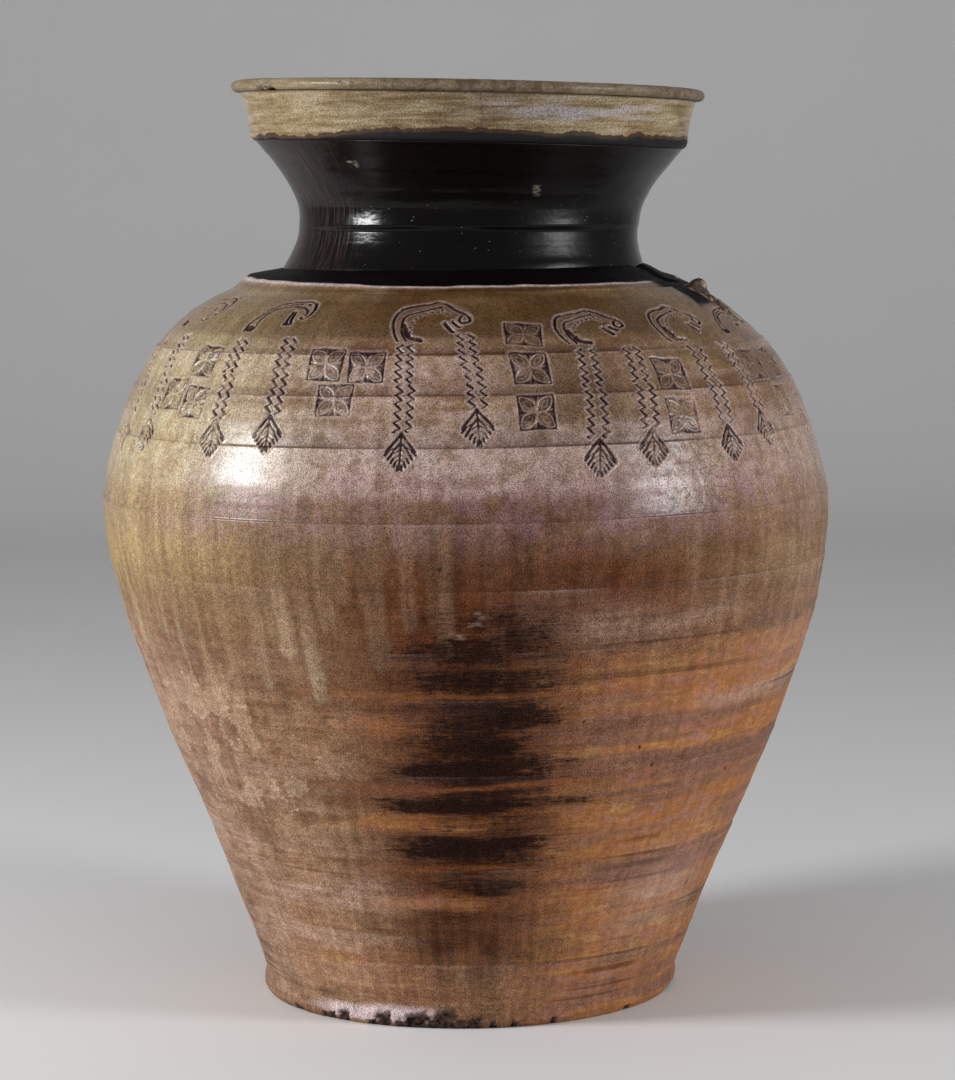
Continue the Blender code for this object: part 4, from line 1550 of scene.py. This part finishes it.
def inside_mouth(at):
    out = 0.5 * at.noise(3, 9 * MM, 191) + 0.25 * at.fractal(12, 0.03, 193)
    return dict(out=out * MM, stain=smooth(0.66, 0.63, at.height + 0.004 * at.noise(40, 0.01, 195)))


def inside_neck(at):
    out = 0.6 * at.noise(3, 10 * MM, 197) + 0.3 * at.fractal(12, 0.03, 199)
    return dict(out=out * MM, hairs=np.clip(0.5 + 0.5 * at.fractal(30, 0.03, 201), 0, 1))


def mouth_skin(line, relief):
    return skin(line, even_rows(0.0, line.length, MOUTH_STEP), MOUTH_COLUMNS, relief)


def bore_skin(line, relief):
    return skin(line, even_rows(0.0, line.length, BORE_STEP), INSIDE_COLUMNS, relief, inner=True)


def mouth_pieces(glaze, black, cream):
    foot = flat_rings([NECK_FOOT_RADIUS - RIDGE_CLEARANCE], ridge_low.z)
    ridge = [mouth_skin(ridge_line, ridge_relief), (foot, UP, {})]
    neck = [mouth_skin(neck_line, neck_relief), bore_skin(neck_hollow, inside_neck)]
    collar = [mouth_skin(collar_line, collar_relief), bore_skin(collar_hollow, inside_mouth)]
    make_piece("neck_ridge", ridge, glaze)
    make_piece("neck", neck, black)
    make_piece("mouth_collar", collar, cream)
    make_piece("lip_roll", [mouth_skin(lip_line, lip_relief)], cream)


# The torn lug: a clay patch on the shoulder with a standing root and a low scar

LUG_GRID = (90, 80)
LUG_HALF_WIDTH = 13.0
LUG_TOP_MM = -1.0
LUG_LENGTH_MM = 46.0
LUG_SUNK_MM = 3.0
# Rounded lumps of the torn lug: (across, down) in mm, (half width, half length, height) in mm
LUG_LUMPS = (
    (0.5, 11.0, 3.9, 5.6, 9.0),
    (-7.0, 9.0, 2.2, 3.6, 2.2),
    (1.0, 18.0, 3.5, 4.0, 3.6),
    (-1.5, 25.0, 3.2, 3.4, 2.8),
    (1.5, 31.5, 2.6, 3.6, 2.8),
    (-0.5, 38.0, 3.0, 3.2, 2.2),
)
LUMP_BLEND = 1.3
LUMP_BASE_MM = 1.5


def lug_height(across, down):
    """Height of the torn clay over the shoulder in mm, below zero where the shoulder covers it."""
    rise = np.full_like(across, -LUMP_BASE_MM)
    for x, y, half, long, tall in LUG_LUMPS:
        away = ((across - x) / half) ** 2 + ((down - y) / long) ** 2
        lump = (tall + LUMP_BASE_MM) * np.sqrt(np.clip(1 - away / 2, 0, 1)) - LUMP_BASE_MM
        rise = np.log(np.exp(rise * LUMP_BLEND) + np.exp(lump * LUMP_BLEND)) / LUMP_BLEND
    bed = 1.1 * (1 - (across / 6.5) ** 2) * smooth(43, 36, down) * smooth(2, 6, down)
    return most(rise, bed) + 0.9 * fractal(across * 4.0, down * MM, 90, 3 * MM, 211, 4, 0.65) - 0.3


def lug_stub(material):
    """A grid over the shoulder, closed underneath by the same grid sunk into the wall."""
    rows, cols = LUG_GRID
    across = np.linspace(-LUG_HALF_WIDTH, LUG_HALF_WIDTH, cols)
    across, down = np.meshgrid(across, np.linspace(LUG_TOP_MM, LUG_TOP_MM + LUG_LENGTH_MM, rows))
    radius, height, normal_r, normal_z = wall.at(WALL_END - np.maximum(down, 0.0) * MM)
    radius = radius + np.minimum(down, 0.0) * MM
    degrees = LUG_ANGLE + np.degrees(across * MM / radius)
    from_top = down - LUG_TOP_MM
    edge = np.minimum(
        smooth(LUG_HALF_WIDTH, LUG_HALF_WIDTH - 2, np.abs(across)),
        smooth(0, 2, from_top) * smooth(LUG_LENGTH_MM, LUG_LENGTH_MM - 2, from_top),
    )
    rise = lug_height(across, down)
    rise = np.where(rise > 0, rise * edge, rise) - LUG_SUNK_MM * 0.5 * (1 - edge)
    rise = np.maximum(rise, -LUG_SUNK_MM * 0.6)
    lifts = (rise * MM, -LUG_SUNK_MM * MM)
    skins = [placed(degrees, radius + lift * normal_r, height + lift * normal_z) for lift in lifts]
    index = np.arange(rows * cols).reshape(rows, cols)
    a, b, c, d = index[:-1, :-1], index[:-1, 1:], index[1:, 1:], index[1:, :-1]
    upper = np.stack([a, d, c, b], axis=-1).reshape(-1, 4)
    lower = np.stack([a, b, c, d], axis=-1).reshape(-1, 4) + index.size
    loop = np.concatenate([index[0, :-1], index[:-1, -1], index[-1, :0:-1], index[:0:-1, 0]])
    after = np.roll(loop, -1)
    sides = np.stack([loop, after, after + index.size, loop + index.size], axis=1)
    corners = np.concatenate([grid.reshape(-1, 3) for grid in skins])
    mesh = mesh_from("lug_stub", corners, np.concatenate([upper, lower, sides]), NO_TRIANGLES)
    torn = fractal(across * 4.0, down * MM, 60, 5 * MM, 217, 3)
    # Painted shade in the torn clay's low places, in the torn stub's open top and in the recess to its left
    hollows = smooth(-0.35, 0.05, torn) * smooth(4.9, 3.9, rise)
    pit = fade(0.7, 1.0, np.hypot((across - 0.5) / 2.6, (down - 11) / 3.6))
    dark = most(hollows, pit, near(across, -7.0, 2.5, 1.0) * (down < 14)) * 0.95
    set_mask(mesh, "dark", [dark.ravel(), np.ones(index.size)])
    dress(mesh, "lug_stub", material)


# The stage

SWEEP_WIDTH = 9.0
SWEEP_FRONT = -6.0
SWEEP_BACK = 3.2
SWEEP_RADIUS = 1.2
SWEEP_TOP = 6.0
SWEEP_TURNS = np.linspace(0.0, math.pi / 2, 17)


def floor_sweep():
    """A pale floor that curves up into a backdrop."""
    section = [(SWEEP_FRONT, 0.0)]
    for angle in SWEEP_TURNS:
        section.append((SWEEP_BACK + SWEEP_RADIUS * math.sin(angle), SWEEP_RADIUS * (1 - math.cos(angle))))
    section.append((SWEEP_BACK + SWEEP_RADIUS, SWEEP_TOP))
    corners = [(side * SWEEP_WIDTH, y, z) for side in (-1, 1) for y, z in section]
    count = len(section)
    faces = [(k, k + count, k + count + 1, k + 1) for k in range(count - 1)]
    mesh = bpy.data.meshes.new("floor_sweep")
    mesh.from_pydata(corners, [], faces)
    mesh.shade_smooth()
    mesh.materials.append(floor_paper())
    linked("floor_sweep", mesh)


# Lamps: name, angle and elevation in degrees, distance, size, power
LAMPS = (
    ("left_softbox", -72.0, 17.5, 2.6, (0.74, 0.42), 56.0),
    ("right_softbox", 64.0, 15.0, 2.7, (0.66, 0.66), 34.0),
)
LAMP_AIM = Vector((0.0, 0.0, 0.40))
LAMP_COLOUR = (0.97, 0.98, 1.0)
WORLD_COLOUR = (0.93, 0.94, 0.96, 1.0)
WORLD_STRENGTH = 0.29


def light_up():
    """Two soft lamps at the angles where the glaze mirrors them in the photograph, and a dim pale room."""
    for name, azimuth, elevation, distance, size, power in LAMPS:
        angle, rise = math.radians(azimuth), math.radians(elevation)
        flat = math.cos(rise)
        direction = Vector((math.sin(angle) * flat, -math.cos(angle) * flat, math.sin(rise)))
        light = bpy.data.lights.new(name, "AREA")
        light.shape = "ELLIPSE"
        light.size, light.size_y = size
        light.energy = power
        light.color = LAMP_COLOUR
        lamp = linked(name, light)
        lamp.location = LAMP_AIM + direction * distance
        lamp.rotation_euler = (-direction).to_track_quat("-Z", "Y").to_euler()
    world = bpy.data.worlds.new("room")
    world.use_nodes = True
    background = world.node_tree.nodes["Background"]
    background.inputs["Color"].default_value = WORLD_COLOUR
    background.inputs["Strength"].default_value = WORLD_STRENGTH
    bpy.context.scene.world = world


CAMERA_PLACE = (0.0091, -2.53, 0.61)
CAMERA_PITCH = math.radians(83.89)
CAMERA_ROLL = math.radians(-0.76)
CAMERA_LENS_MM = 111.8
SENSOR_HEIGHT_MM = 36.0


def camera():
    view = bpy.data.cameras.new("camera")
    view.lens = CAMERA_LENS_MM
    view.sensor_fit = "VERTICAL"
    view.sensor_height = SENSOR_HEIGHT_MM
    view.clip_end = 50
    thing = linked("camera", view)
    turn = Matrix.Rotation(CAMERA_PITCH, 4, "X") @ Matrix.Rotation(CAMERA_ROLL, 4, "Z")
    thing.matrix_world = Matrix.Translation(CAMERA_PLACE) @ turn
    bpy.context.scene.camera = thing
    bpy.context.scene.view_settings.view_transform = "Standard"


glaze = wall_glaze()
base_slab(glaze)
for index in range(len(WALL_RINGS)):
    wall_ring(index, glaze)
mouth_pieces(glaze, neck_glaze(), cream_glaze())
lug_stub(raw_clay())
floor_sweep()
light_up()
camera()
